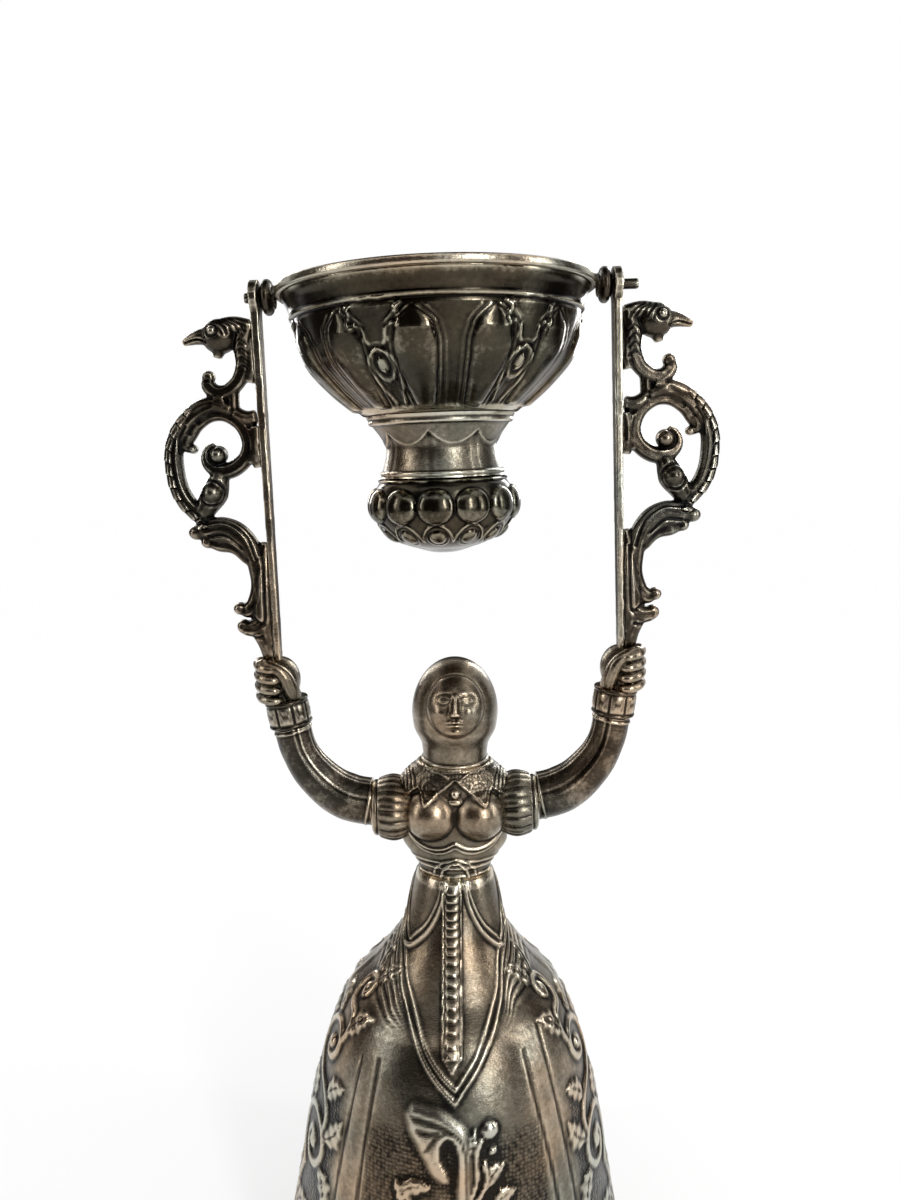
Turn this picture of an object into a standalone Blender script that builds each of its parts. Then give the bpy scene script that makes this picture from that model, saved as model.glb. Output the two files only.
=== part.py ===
# Wager cup: a silver figure whose hollow skirt is the large cup, and who holds up two
# openwork brackets between which the small cup swings on a pair of pivot pins.
# The frame is +Z up with the origin at the centre of the foot; the figure faces -Y.
# All sizes are in metres.

import math

import bmesh
import bpy
from mathutils import Matrix, Vector

# Clearances
SEAT_GAP = 0.0003            # between pieces that are soldered or seated on each other
PIN_CLEARANCE = 0.0001       # all round a pivot pin in its bracket eye

# Foot and skirt cup
FOOT_HEIGHT = 0.0030
FOOT_WIDTH = 0.0034
FOOT_STAND_OUT = 0.0016      # beyond the hem
SKIRT_WALL = 0.0009
HEM_RADIUS = 0.0424
HEM_BAND_HEIGHT = 0.0050
HEM_BAND_RISE = 0.0005
WAIST_HEIGHT = 0.1077
WAIST_RADIUS = 0.0079
FLARE_DROP = 0.0124
FLARE_RADIUS = 0.0117
PLEAT_BUMP_DROP = 0.0225
PLEAT_BUMP_RADIUS = 0.0184
HIP_DROP = 0.0294
HIP_RADIUS = 0.0249
BELL_DROP = 0.0436
BELL_RADIUS = 0.03075
SWEEP_DROP = 0.0759
SWEEP_RADIUS = 0.0371
CUP_FLOOR_THICKNESS = 0.0016

# Dress over the skirt; drops are below the waist
PLEATS_PER_SIDE = 2
PLEAT_RADIUS = 0.00062
PLEAT_STEP_DOWN = 0.0015
PLEAT_SPREAD_STEP = 0.17     # each pleat runs this share further round than the one before
BORDER_POINT_DROP = 0.0378
BORDER_TOP_DROP = 0.0115
BORDER_GAP = 0.0022          # between the two ridges of the border
TAB_TIP_DROP = 0.0146
TAB_RIDGE_RADIUS = 0.00058
PLACKET_WIDTH = 0.0038
PLACKET_RISE = 0.0008
PLACKET_DROP = 0.0300

# Bodice
CHEST_RISE = 0.0165          # above the waist
CHEST_HEIGHT = WAIST_HEIGHT + CHEST_RISE
CHEST_WIDTH = 0.0248
CHEST_DEPTH = 0.0156
SHOULDER_DROP = 0.0023       # below the neck
RIB_RISE = 0.0078            # above the waist, where the chest is nearly full width
WAIST_DEPTH_SHARE = 0.88
SASH_RISE = 0.0007
SASH_HEIGHT = 0.0030
NECK_RISE = 0.0094           # above the chest
NECK_HEIGHT = CHEST_HEIGHT + NECK_RISE
NECK_RADIUS = 0.0070
BUST_RADIUS = 0.0062
BUST_SPACING = 0.0106
BUST_DROP = 0.0012
BUST_FORWARD = 0.0044
COLLAR_RISE = 0.0012
COLLAR_NOTCH_DROP = 0.0026   # below the neck
COLLAR_POINT_DROP = 0.0078
COLLAR_POINT_X = 0.0058

# Hooded head
HEAD_RADIUS = 0.00955
HEAD_WIDEST_RISE = 0.0114    # above the neck
CROWN_RISE = 0.0123          # above the widest place
HEAD_WIDEST_HEIGHT = NECK_HEIGHT + HEAD_WIDEST_RISE
HOOD_COLLAR_RISE = 0.0006
FACE_WIDTH = 0.0130
FACE_HEIGHT = 0.0146
FACE_RISE = 0.0037           # above the head's widest place
FACE_TILT = math.radians(15)
FACE_DEPTH = 0.0016

# Raised group: sleeves, hands, brackets and small cup lean together
LEAN = math.radians(2.1)
PIVOT_RISE = 0.1106          # pivot axis above the chest point

# Arms
PUFF_INNER_X = 0.0122
PUFF_LENGTH = 0.0062
PUFF_RADIUS = 0.0078
PUFF_OUTER_RADIUS = 0.0058
PUFF_SAG = 0.0007            # hangs below the arm's centre line
PUFF_GATHERS = 12
PUFF_GATHER_DEPTH = 0.0005
SLEEVE_RADIUS = 0.0052
SLEEVE_WRIST_RADIUS = 0.0040
CUFF_BOTTOM_RISE = 0.0190    # above the chest point
CUFF_HEIGHT = 0.0062
CUFF_RADIUS = 0.0046
CUFF_SPLAY = math.radians(8)
WRIST_X = 0.0358
HAND_INSET = 0.0003          # from the strap's outer face to the middle of the fist
HAND_RISE = 0.0293
HAND_WIDTH = 0.0098
HAND_DEPTH = 0.0106
HAND_HEIGHT = 0.0112
FINGER_RADIUS = 0.0013

# Bracket straps and scrolls
STRAP_OUTER_X = 0.0382
STRAP_EYE_THICKNESS = 0.0017
STRAP_TAPER = math.radians(0.4)
EYE_RADIUS = 0.0036
STRAP_WIDTH_TOP = 0.0044
STRAP_WIDTH_FOOT = 0.0030
STRAP_FOOT_DROP = 0.0785     # below the pivot, inside the fist
SCROLL_UNIT = 0.001          # the scroll is drawn in these units
SCROLL_DEPTH_SHARE = 1.15    # depth of the cast scroll against its drawn width
PEARL_RADIUS = 0.0027
BIRD_HEAD_RADIUS = 0.0036

# Small cup, turned about its own axis with the pivot axis at height zero
RIM_RADIUS = 0.0330
RIM_TOP = 0.0009
RIM_BAND_HEIGHT = 0.0017
RIM_BAND_THICKNESS = 0.0011
BOWL_WALL = 0.0009
SMOOTH_BAND_RADIUS = 0.0303
SMOOTH_BAND_DROP = 0.0048
BOWL_BELLY_RADIUS = 0.0275
BOWL_BELLY_DROP = 0.0138
BOWL_FOOT_RADIUS = 0.0163
BOWL_FOOT_DROP = 0.0249
LOBE_COUNT = 12
LOBE_RISE = 0.0010
NECK_WAIST_RADIUS = 0.0117
NECK_WAIST_DROP = 0.0318
NECK_TOP_RADIUS = 0.0155
NECK_FOOT_RADIUS = 0.0131
NECK_FOOT_DROP = 0.0378
NECK_WALL = 0.0010
KNOP_RADIUS = 0.0156
KNOP_WIDEST_DROP = 0.0444
KNOP_BOTTOM_DROP = 0.0540
KNOP_WALL = 0.0010
KNOP_LOBES = 12
KNOP_LOBE_RISE = 0.0008

# Pivots
PIN_RADIUS = 0.00105
PIN_PROJECTION_LEFT = 0.0015
PIN_PROJECTION_RIGHT = 0.0037
BEAD_RADIUS = 0.00365
BEAD_SHOULDER_RADIUS = 0.0023

# Fineness of the round work
TURNING_SEGMENTS = 28
RING_SEGMENTS = 36
SKIRT_SEGMENTS = 40
BOWL_SEGMENTS = 48
NECK_SEGMENTS = 24
KNOP_SEGMENTS = 36
HEAD_SEGMENTS = 26
PIN_SEGMENTS = 16
BEAD_SEGMENTS = 12

FLAT_ANGLE = math.radians(0.8)
ORIGIN = Vector((0.0, 0.0, 0.0))


# Scene and materials

def clear_scene():
    for old_object in list(bpy.data.objects):
        bpy.data.objects.remove(old_object, do_unlink=True)


def new_collection(name):
    collection = bpy.data.collections.new(name)
    bpy.context.scene.collection.children.link(collection)
    return collection


def new_material(name, colour, roughness):
    material = bpy.data.materials.new(name)
    material.use_nodes = True
    shader = material.node_tree.nodes["Principled BSDF"]
    shader.inputs["Base Color"].default_value = (*colour, 1.0)
    shader.inputs["Metallic"].default_value = 1.0
    shader.inputs["Roughness"].default_value = roughness
    return material


# Building helpers

def add_object(name, data, material, parent=None, location=ORIGIN, rotation=(0.0, 0.0, 0.0)):
    new_object = bpy.data.objects.new(name, data)
    parts_collection.objects.link(new_object)
    new_object.parent = parent
    new_object.location = location
    new_object.rotation_euler = rotation
    if data is not None and material is not None:
        data.materials.append(material)
    return new_object


def make_cutter(tool):
    parts_collection.objects.unlink(tool)
    cutters_collection.objects.link(tool)
    tool.hide_render = True
    tool.display_type = "WIRE"
    return tool


def evaluated_mesh(source):
    bpy.context.view_layer.update()
    depsgraph = bpy.context.evaluated_depsgraph_get()
    return bpy.data.meshes.new_from_object(source.evaluated_get(depsgraph))


def apply_modifiers(target):
    cut = any(modifier.type == "BOOLEAN" for modifier in target.modifiers)
    mesh = evaluated_mesh(target)
    target.modifiers.clear()
    target.data = mesh
    return merge_flat_faces(target) if cut else target


def smooth_shading(target, sharp_angle=math.radians(35)):
    target.data.shade_smooth()
    target.data.set_sharp_from_angle(angle=sharp_angle)
    return target


def split_into_triangles(target):
    """Bent four-sided faces are split, so that a Boolean meets flat faces only."""
    shell = bmesh.new()
    shell.from_mesh(target.data)
    bmesh.ops.triangulate(shell, faces=shell.faces)
    shell.to_mesh(target.data)
    shell.free()
    return target


def merge_flat_faces(target):
    """Faces that a Boolean split but that lie in one plane become one again."""
    shell = bmesh.new()
    shell.from_mesh(target.data)
    bmesh.ops.dissolve_limit(shell, angle_limit=FLAT_ANGLE, verts=shell.verts, edges=shell.edges)
    shell.to_mesh(target.data)
    shell.free()
    return target


def combine(target, tool, operation):
    split_into_triangles(target)
    split_into_triangles(tool)
    modifier = target.modifiers.new(operation.lower() + "_" + tool.name, "BOOLEAN")
    modifier.operation = operation
    modifier.solver = "EXACT"
    modifier.object = tool
    return modifier


def fuse(target, pieces):
    for piece in pieces:
        combine(target, make_cutter(piece), "UNION")
    return target


def turned(name, profile, material, segments=TURNING_SEGMENTS, **placing):
    """Turn (radius, height) points about Z; they run down the outer side, top to bottom."""
    mesh = bpy.data.meshes.new(name)
    points = [(radius, 0.0, height) for radius, height in profile]
    edges = [(i, i + 1) for i in range(len(points) - 1)]
    closed_ring = profile[0][0] > 0.0 and profile[-1][0] > 0.0
    if closed_ring:
        edges.append((len(points) - 1, 0))
    mesh.from_pydata(points, edges, [])
    turned_object = add_object(name, mesh, material, **placing)
    screw = turned_object.modifiers.new("turning", "SCREW")
    screw.axis = "Z"
    screw.steps = segments
    screw.render_steps = segments
    screw.use_merge_vertices = True
    screw.merge_threshold = 0.00001
    apply_modifiers(turned_object)
    return smooth_shading(turned_object)


def tube(name, points, material, resolution=4, sides=8, depth_share=1.0, **placing):
    """Round bar through (position, radius) points, made a closed mesh."""
    curve = bpy.data.curves.new(name, "CURVE")
    curve.dimensions = "3D"
    curve.bevel_depth = 1.0
    curve.bevel_resolution = (sides - 4) // 2
    curve.use_fill_caps = True
    curve.resolution_u = resolution
    spline = curve.splines.new("BEZIER")
    spline.bezier_points.add(len(points) - 1)
    for bezier_point, (position, radius) in zip(spline.bezier_points, points):
        bezier_point.co = position
        bezier_point.radius = radius
        bezier_point.handle_left_type = "AUTO"
        bezier_point.handle_right_type = "AUTO"
    guide = add_object(name + "_guide", curve, None)
    mesh = evaluated_mesh(guide)
    bpy.data.objects.remove(guide, do_unlink=True)
    shell = bmesh.new()
    shell.from_mesh(mesh)
    bmesh.ops.remove_doubles(shell, verts=shell.verts, dist=0.000001)
    bmesh.ops.recalc_face_normals(shell, faces=shell.faces)
    middle_y = sum(position[1] for position, _ in points) / len(points)
    for vertex in shell.verts:
        vertex.co.y = middle_y + (vertex.co.y - middle_y) * depth_share
    shell.to_mesh(mesh)
    shell.free()
    mesh.materials.clear()
    return smooth_shading(add_object(name, mesh, material, **placing))


def ball(name, centre, radii, material, segments=12, rings=8, tilt=0.0, **placing):
    """Ellipsoid with its poles along Y, turned by tilt about X."""
    mesh = bpy.data.meshes.new(name)
    shell = bmesh.new()
    bmesh.ops.create_uvsphere(shell, u_segments=segments, v_segments=rings, radius=1.0)
    poles_forward = Matrix.Rotation(math.radians(90), 4, "X")
    size = Matrix.Diagonal((*radii, 1.0))
    place = Matrix.Translation(centre) @ Matrix.Rotation(tilt, 4, "X") @ size @ poles_forward
    bmesh.ops.transform(shell, matrix=place, verts=shell.verts)
    shell.to_mesh(mesh)
    shell.free()
    return smooth_shading(add_object(name, mesh, material, **placing))


def block(name, low, high, material, **placing):
    mesh = bpy.data.meshes.new(name)
    shell = bmesh.new()
    size = Vector(high) - Vector(low)
    middle = (Vector(high) + Vector(low)) / 2
    place = Matrix.Translation(middle) @ Matrix.Diagonal((*size, 1.0))
    bmesh.ops.create_cube(shell, size=1.0, matrix=place)
    shell.to_mesh(mesh)
    shell.free()
    return add_object(name, mesh, material, **placing)


def prism(name, outline, y_low, y_high, material, **placing):
    """Flat outline of (x, z) points, extruded along Y."""
    curve = bpy.data.curves.new(name, "CURVE")
    curve.dimensions = "2D"
    curve.fill_mode = "BOTH"
    curve.extrude = (y_high - y_low) / 2
    spline = curve.splines.new("POLY")
    spline.points.add(len(outline) - 1)
    for point, (x, z) in zip(spline.points, outline):
        point.co = (x, z, 0.0, 1.0)
    spline.use_cyclic_u = True
    guide = add_object(name + "_guide", curve, None)
    mesh = evaluated_mesh(guide)
    bpy.data.objects.remove(guide, do_unlink=True)
    upright = Matrix.Rotation(math.radians(90), 4, "X")
    mesh.transform(Matrix.Translation((0.0, (y_low + y_high) / 2, 0.0)) @ upright)
    shell = bmesh.new()
    shell.from_mesh(mesh)
    bmesh.ops.remove_doubles(shell, verts=shell.verts, dist=0.000001)
    bmesh.ops.recalc_face_normals(shell, faces=shell.faces)
    shell.to_mesh(mesh)
    shell.free()
    mesh.materials.clear()
    return add_object(name, mesh, material, **placing)


def mirrored_copy(source, name):
    """The same solid on the other side of the X = 0 plane of its parent."""
    mesh = evaluated_mesh(source)
    mesh.name = name
    mesh.transform(Matrix.Diagonal((-1.0, 1.0, 1.0, 1.0)))
    mesh.flip_normals()
    twin = add_object(name, mesh, None, parent=source.parent)
    twin.location = source.location * Vector((-1.0, 1.0, 1.0))
    turn = source.rotation_euler
    twin.rotation_euler = (turn.x, -turn.y, -turn.z)
    return twin


# Smooth outlines through named stations

def smooth_value(stations, t):
    """Value at t of a smooth curve through (t, value) stations in rising order of t."""
    spans = list(zip(stations, stations[1:]))
    slopes = [(b[1] - a[1]) / (b[0] - a[0]) for a, b in spans]
    tangents = [slopes[0]]
    for before, after in zip(slopes, slopes[1:]):
        same_way = before * after > 0.0
        tangents.append(2.0 * before * after / (before + after) if same_way else 0.0)
    tangents.append(slopes[-1])
    t = min(max(t, stations[0][0]), stations[-1][0])
    index = max(i for i in range(len(spans)) if stations[i][0] <= t)
    (t0, v0), (t1, v1) = spans[index]
    width = t1 - t0
    s = (t - t0) / width
    start = (1 + 2 * s) * (1 - s) ** 2 * v0 + s * (1 - s) ** 2 * width * tangents[index]
    end = s * s * (3 - 2 * s) * v1 + s * s * (s - 1) * width * tangents[index + 1]
    return start + end


def evenly(start, end, steps):
    return [start + (end - start) * i / steps for i in range(steps + 1)]


# Skirt cup

HEM_HEIGHT = FOOT_HEIGHT + SEAT_GAP
SKIRT_STATIONS = [
    (HEM_HEIGHT, HEM_RADIUS),
    (WAIST_HEIGHT - SWEEP_DROP, SWEEP_RADIUS),
    (WAIST_HEIGHT - BELL_DROP, BELL_RADIUS),
    (WAIST_HEIGHT - HIP_DROP, HIP_RADIUS),
    (WAIST_HEIGHT - PLEAT_BUMP_DROP, PLEAT_BUMP_RADIUS),
    (WAIST_HEIGHT - FLARE_DROP, FLARE_RADIUS),
    (WAIST_HEIGHT, WAIST_RADIUS),
]


def skirt_radius(height):
    return smooth_value(SKIRT_STATIONS, height)


def skirt_inner_radius(height):
    """Inside of the wall, set back square to the slope of the outer face."""
    step = 0.0005
    low = max(height - step, HEM_HEIGHT)
    high = min(height + step, WAIST_HEIGHT)
    slope = (skirt_radius(high) - skirt_radius(low)) / (high - low)
    return skirt_radius(height) - SKIRT_WALL * math.hypot(1.0, slope)


def skirt_layer(name, rise, top, bottom, outline, rows):
    """Part of a layer over the skirt that lies inside a flat outline seen from the front."""
    heights = evenly(top, bottom, rows)
    outer = [(skirt_radius(z) + rise, z) for z in heights]
    inner = [(skirt_radius(z) - SKIRT_WALL / 2, z) for z in reversed(heights)]
    layer = turned(name, outer + inner, silver_grey, SKIRT_SEGMENTS)
    window = prism(name + "_outline", outline, -2 * HEM_RADIUS, 0.0, silver_grey)
    combine(layer, make_cutter(window), "INTERSECT")
    return apply_modifiers(layer)


def on_skirt(angle, drop):
    """Place on the skirt's outer face, by angle from the front and drop below the waist."""
    height = WAIST_HEIGHT - drop
    radius = skirt_radius(height)
    return Vector((radius * math.sin(angle), -radius * math.cos(angle), height))


def skirt_ridge(name, stations, radius):
    """Raised fold along (angle in degrees, drop) stations on the skirt's outer face."""
    points = [(on_skirt(math.radians(angle), drop), radius) for angle, drop in stations]
    return tube(name, points, silver_grey, 1, 6)


def border_stations(inset):
    """One side of the pointed border, from the hip to the point in front."""
    fall = BORDER_POINT_DROP - BORDER_TOP_DROP
    shares = [(86, 0.0), (58, 0.21), (37, 0.42), (23, 0.59), (12, 0.78), (4, 0.93), (-1, 1.0)]
    return [(angle, BORDER_TOP_DROP + fall * share - inset) for angle, share in shares]


def pleat_stations(index):
    """A pleat beside the border, each further round the hip and further down."""
    spread = 1.0 + PLEAT_SPREAD_STEP * index
    down = PLEAT_STEP_DOWN * index
    stations = [(angle * spread, drop + down) for angle, drop in border_stations(0.0)]
    hip = (88 + 6 * index, stations[0][1] + down)
    return [hip] + stations[1:-index - 1]


def tab_stations():
    """Edge of the pointed tab that hangs from the waist over the hip."""
    shares = [(16, 0.07), (22, 0.36), (38, 0.76), (57, 1.0), (72, 0.74), (88, 0.36)]
    return [(angle, TAB_TIP_DROP * share) for angle, share in shares]


def mirrored_stations(stations):
    return [(-angle, drop) for angle, drop in stations]


def make_skirt_cup():
    band_top = HEM_HEIGHT + HEM_BAND_HEIGHT
    inner_top = WAIST_HEIGHT - CUP_FLOOR_THICKNESS
    hip_height = WAIST_HEIGHT - HIP_DROP
    bell_height = WAIST_HEIGHT - BELL_DROP
    outer_heights = evenly(WAIST_HEIGHT, hip_height, 5)
    outer_heights += evenly(hip_height, bell_height, 2)[1:]
    outer_heights += evenly(bell_height, band_top + HEM_BAND_RISE, 3)[1:]
    profile = [(0.0, WAIST_HEIGHT)]
    profile += [(skirt_radius(z), z) for z in outer_heights]
    profile += [(skirt_radius(band_top) + HEM_BAND_RISE, band_top)]
    profile += [(HEM_RADIUS + HEM_BAND_RISE, HEM_HEIGHT)]
    inner_heights = evenly(HEM_HEIGHT, bell_height, 2)
    inner_heights += evenly(hip_height, inner_top, 4)
    profile += [(skirt_inner_radius(z), z) for z in inner_heights]
    profile += [(0.0, inner_top)]
    skirt = turned("skirt_cup", profile, silver_grey, SKIRT_SEGMENTS)
    folds = [("border_inside", border_stations(BORDER_GAP), PLEAT_RADIUS)]
    folds += [("border_outside", border_stations(0.0), PLEAT_RADIUS)]
    folds += [("pleat", pleat_stations(i), PLEAT_RADIUS) for i in range(1, PLEATS_PER_SIDE + 1)]
    folds += [("tab", tab_stations(), TAB_RIDGE_RADIUS)]
    for name, stations, radius in folds:
        fuse(skirt, [skirt_ridge(name, stations, radius)])
        fuse(skirt, [skirt_ridge(name, mirrored_stations(stations), radius)])
    above = WAIST_HEIGHT + PLACKET_WIDTH
    strip_foot = WAIST_HEIGHT - PLACKET_DROP
    strip = PLACKET_WIDTH / 2
    strip_point = strip_foot - strip
    strip_outline = [(0.0, strip_point), (strip, strip_foot), (strip, above), (-strip, above)]
    strip_outline += [(-strip, strip_foot)]
    strip_top = WAIST_HEIGHT - PLACKET_RISE
    placket = skirt_layer("placket", PLACKET_RISE, strip_top, strip_point - strip, strip_outline, 6)
    fuse(skirt, [placket])
    return smooth_shading(apply_modifiers(skirt))


def make_foot_ring():
    outer = HEM_RADIUS + FOOT_STAND_OUT
    inner = outer - FOOT_WIDTH
    roll = FOOT_HEIGHT / 2
    arc = [math.radians(a) for a in (90, 0, -90)]
    profile = [(inner, FOOT_HEIGHT)]
    profile += [(outer - roll + roll * math.cos(a), roll + roll * math.sin(a)) for a in arc]
    profile += [(inner, 0.0)]
    return turned("foot_ring", profile, silver_bright, RING_SEGMENTS)


# Bodice and head

def bodice_half_width(height):
    base = WAIST_HEIGHT + SEAT_GAP
    stations = [
        (base, WAIST_RADIUS),
        (base + RIB_RISE * 0.2, WAIST_RADIUS * 1.02),
        (base + RIB_RISE, CHEST_WIDTH * 0.485),
        (CHEST_HEIGHT, CHEST_WIDTH / 2),
        (NECK_HEIGHT - SHOULDER_DROP, CHEST_WIDTH * 0.48),
        (NECK_HEIGHT, NECK_RADIUS),
    ]
    return smooth_value(stations, height)


def bodice_half_depth(height):
    base = WAIST_HEIGHT + SEAT_GAP
    stations = [
        (base, WAIST_RADIUS * WAIST_DEPTH_SHARE),
        (CHEST_HEIGHT, CHEST_DEPTH / 2),
        (NECK_HEIGHT, NECK_RADIUS * 0.92),
    ]
    return smooth_value(stations, height)


def flatten_front_to_back(body):
    for vertex in body.data.vertices:
        share = bodice_half_depth(vertex.co.z) / bodice_half_width(vertex.co.z)
        vertex.co.y *= share


def collar_layer():
    """Pointed collar that lies over the shoulders and chest, front and back."""
    low = NECK_HEIGHT - COLLAR_POINT_DROP
    top = NECK_HEIGHT - COLLAR_RISE / 2
    heights = evenly(top, low - COLLAR_RISE / 2, 4)
    outer = [(bodice_half_width(z) + COLLAR_RISE, z) for z in heights]
    inner = [(bodice_half_width(z) - COLLAR_RISE / 2, z) for z in reversed(heights)]
    layer = turned("collar", outer + inner, silver_grey, TURNING_SEGMENTS)
    flatten_front_to_back(layer)
    edge = CHEST_WIDTH / 2
    beyond = edge + 2 * COLLAR_RISE
    above = NECK_HEIGHT + COLLAR_RISE
    notch = NECK_HEIGHT - COLLAR_NOTCH_DROP
    between = (low + notch) / 2
    right_side = [(COLLAR_POINT_X, low), (edge * 0.76, between), (edge, low), (beyond, low), (beyond, above)]
    left_side = [(-x, z) for x, z in reversed(right_side)]
    outline = left_side + [(0.0, notch)] + right_side
    window = prism("collar_outline", outline, -CHEST_WIDTH, CHEST_WIDTH, silver_grey)
    combine(layer, make_cutter(window), "INTERSECT")
    return apply_modifiers(layer)


def make_bodice():
    base = WAIST_HEIGHT + SEAT_GAP
    sash_low = base + SASH_HEIGHT
    sash_mid = sash_low + SASH_HEIGHT / 2
    sash_top = sash_low + SASH_HEIGHT
    profile = [(0.0, NECK_HEIGHT)]
    profile += [(bodice_half_width(z), z) for z in evenly(NECK_HEIGHT, sash_top, 8)]
    profile += [(bodice_half_width(sash_mid) + SASH_RISE, sash_mid)]
    profile += [(bodice_half_width(z), z) for z in (sash_low, base)]
    profile += [(0.0, base)]
    body = turned("bodice", profile, silver_grey, TURNING_SEGMENTS)
    flatten_front_to_back(body)
    for side in (-1, 1):
        centre = (side * BUST_SPACING / 2, -BUST_FORWARD, CHEST_HEIGHT - BUST_DROP)
        fuse(body, [ball("bust", centre, (BUST_RADIUS,) * 3, silver_grey, 14, 8)])
    fuse(body, [collar_layer()])
    for side in (-1, 1):
        inner = PUFF_INNER_X - SEAT_GAP
        low = (min(side * inner, side * 2 * CHEST_WIDTH), -CHEST_WIDTH, -CHEST_WIDTH)
        high = (max(side * inner, side * 2 * CHEST_WIDTH), CHEST_WIDTH, CHEST_WIDTH)
        shoulder_plane = block("shoulder_plane", low, high, silver_grey, parent=raised_group)
        combine(body, make_cutter(shoulder_plane), "DIFFERENCE")
    return smooth_shading(apply_modifiers(body))


def make_head():
    """Hood and face cast in one, standing on the neck of the bodice."""
    base = NECK_HEIGHT + SEAT_GAP
    stations = [
        (base, NECK_RADIUS),
        (base + (HEAD_WIDEST_HEIGHT - base) * 0.35, NECK_RADIUS + 0.0004),
        (base + (HEAD_WIDEST_HEIGHT - base) * 0.72, HEAD_RADIUS * 0.96),
        (HEAD_WIDEST_HEIGHT, HEAD_RADIUS),
    ]
    angles = [math.radians(a) for a in (90, 68, 45, 22)]
    profile = [(HEAD_RADIUS * math.cos(a), HEAD_WIDEST_HEIGHT + CROWN_RISE * math.sin(a)) for a in angles]
    profile[0] = (0.0, HEAD_WIDEST_HEIGHT + CROWN_RISE)
    throat = base + 2 * HOOD_COLLAR_RISE
    profile += [(smooth_value(stations, z), z) for z in evenly(HEAD_WIDEST_HEIGHT, throat, 5)]
    profile += [(NECK_RADIUS + HOOD_COLLAR_RISE, base + HOOD_COLLAR_RISE)]
    profile += [(NECK_RADIUS, base), (0.0, base)]
    head = turned("hooded_head", profile, silver_grey, HEAD_SEGMENTS)
    level = FACE_RISE / CROWN_RISE
    surface = HEAD_RADIUS * math.sqrt(1.0 - level * level)
    opening_centre = Vector((0.0, -surface, HEAD_WIDEST_HEIGHT + FACE_RISE))
    opening_radii = (FACE_WIDTH / 2, FACE_DEPTH * 1.6, FACE_HEIGHT / 2)
    opening = ball("face_opening", opening_centre, opening_radii, silver_grey, 16, 8, -FACE_TILT)
    combine(head, make_cutter(opening), "DIFFERENCE")
    back = Vector((0.0, FACE_DEPTH * 2.6, 0.0))
    face_radii = (FACE_WIDTH * 0.44, FACE_DEPTH * 2.4, FACE_HEIGHT * 0.46)
    face = ball("face", opening_centre + back, face_radii, silver_grey, 14, 8, -FACE_TILT)
    fuse(head, [face] + face_features(opening_centre))
    return smooth_shading(apply_modifiers(head))


def face_features(centre):
    """Plain features in common proportions, a fifth of the face's width to an eye."""
    tilt = Matrix.Rotation(-FACE_TILT, 3, "X")
    eye = FACE_WIDTH * 0.44 / 5
    front = FACE_DEPTH * 0.2

    def on_face(x, y, z):
        return centre + tilt @ Vector((x, y, z))

    nose_points = [(on_face(0.0, front, eye * 1.2), eye * 0.35)]
    nose_points += [(on_face(0.0, -front, -eye * 0.8), eye * 0.62)]
    features = [tube("nose", nose_points, silver_grey, 1, 6)]
    rows = [("right_eye", eye * 2.0, front * 2.4, eye * 1.1, (eye, eye * 0.6, eye * 0.5)),
            ("left_eye", -eye * 2.0, front * 2.4, eye * 1.1, (eye, eye * 0.6, eye * 0.5)),
            ("mouth", 0.0, front * 1.5, -eye * 2.3, (eye * 1.2, eye * 0.6, eye * 0.45)),
            ("chin", 0.0, front * 3.0, -eye * 4.2, (eye * 1.2, eye, eye * 0.9))]
    for name, x, y, z, radii in rows:
        features.append(ball(name, on_face(x, y, z), radii, silver_grey, 8, 4, -FACE_TILT))
    return features


# Arms; right-hand pieces are made and the left ones are their mirror images

def make_puff_sleeve():
    """Gathered sleeve head, turned about the shoulder axis."""
    outer_end = PUFF_LENGTH
    stations = [
        (0.0, PUFF_RADIUS * 0.94),
        (outer_end * 0.32, PUFF_RADIUS),
        (outer_end * 0.80, (PUFF_RADIUS + PUFF_OUTER_RADIUS) / 2),
        (outer_end, PUFF_OUTER_RADIUS),
    ]
    profile = [(0.0, outer_end)]
    profile += [(smooth_value(stations, t), t) for t in evenly(outer_end, 0.0, 4)]
    profile += [(0.0, 0.0)]
    turn = (0.0, math.radians(90), 0.0)
    place = Vector((PUFF_INNER_X, 0.0, -PUFF_SAG))
    puff = turned("right_sleeve_puff", profile, silver_grey, 2 * PUFF_GATHERS, parent=raised_group,
                  location=place, rotation=turn)
    for vertex in puff.data.vertices:
        x, y, t = vertex.co
        radius = math.hypot(x, y)
        between_ends = 0.0 < t < outer_end and radius > 0.0
        if between_ends:
            gather = math.cos(PUFF_GATHERS * math.atan2(y, x))
            vertex.co.xy *= 1.0 + PUFF_GATHER_DEPTH * gather / radius
    return puff


def cuff_axis():
    return Vector((math.sin(CUFF_SPLAY), 0.0, math.cos(CUFF_SPLAY)))


def make_sleeve():
    start = Vector((PUFF_INNER_X + PUFF_LENGTH + SEAT_GAP, 0.0, 0.0))
    end = Vector((WRIST_X, 0.0, CUFF_BOTTOM_RISE)) - SEAT_GAP * cuff_axis()
    reach = end.x - start.x
    rise = end.z
    elbow = Vector((start.x + reach * 0.66, 0.0, rise * 0.33))
    upper = Vector((start.x + reach * 0.33, 0.0, rise * 0.10))
    lower = Vector((start.x + reach * 0.90, 0.0, rise * 0.66))
    middle_radius = (SLEEVE_RADIUS + SLEEVE_WRIST_RADIUS) / 2
    outward = Vector((1.0, 0.0, 0.0))
    trim = SLEEVE_RADIUS / 3
    points = [
        (start - trim * outward, SLEEVE_RADIUS),
        (upper, SLEEVE_RADIUS),
        (elbow, middle_radius),
        (lower, SLEEVE_WRIST_RADIUS),
        (end + trim * cuff_axis(), SLEEVE_WRIST_RADIUS),
    ]
    sleeve = tube("right_sleeve", points, silver_grey, 3, 10, parent=raised_group)
    square_off(sleeve, start, outward)
    square_off(sleeve, end, -cuff_axis())
    return smooth_shading(sleeve)


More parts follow.
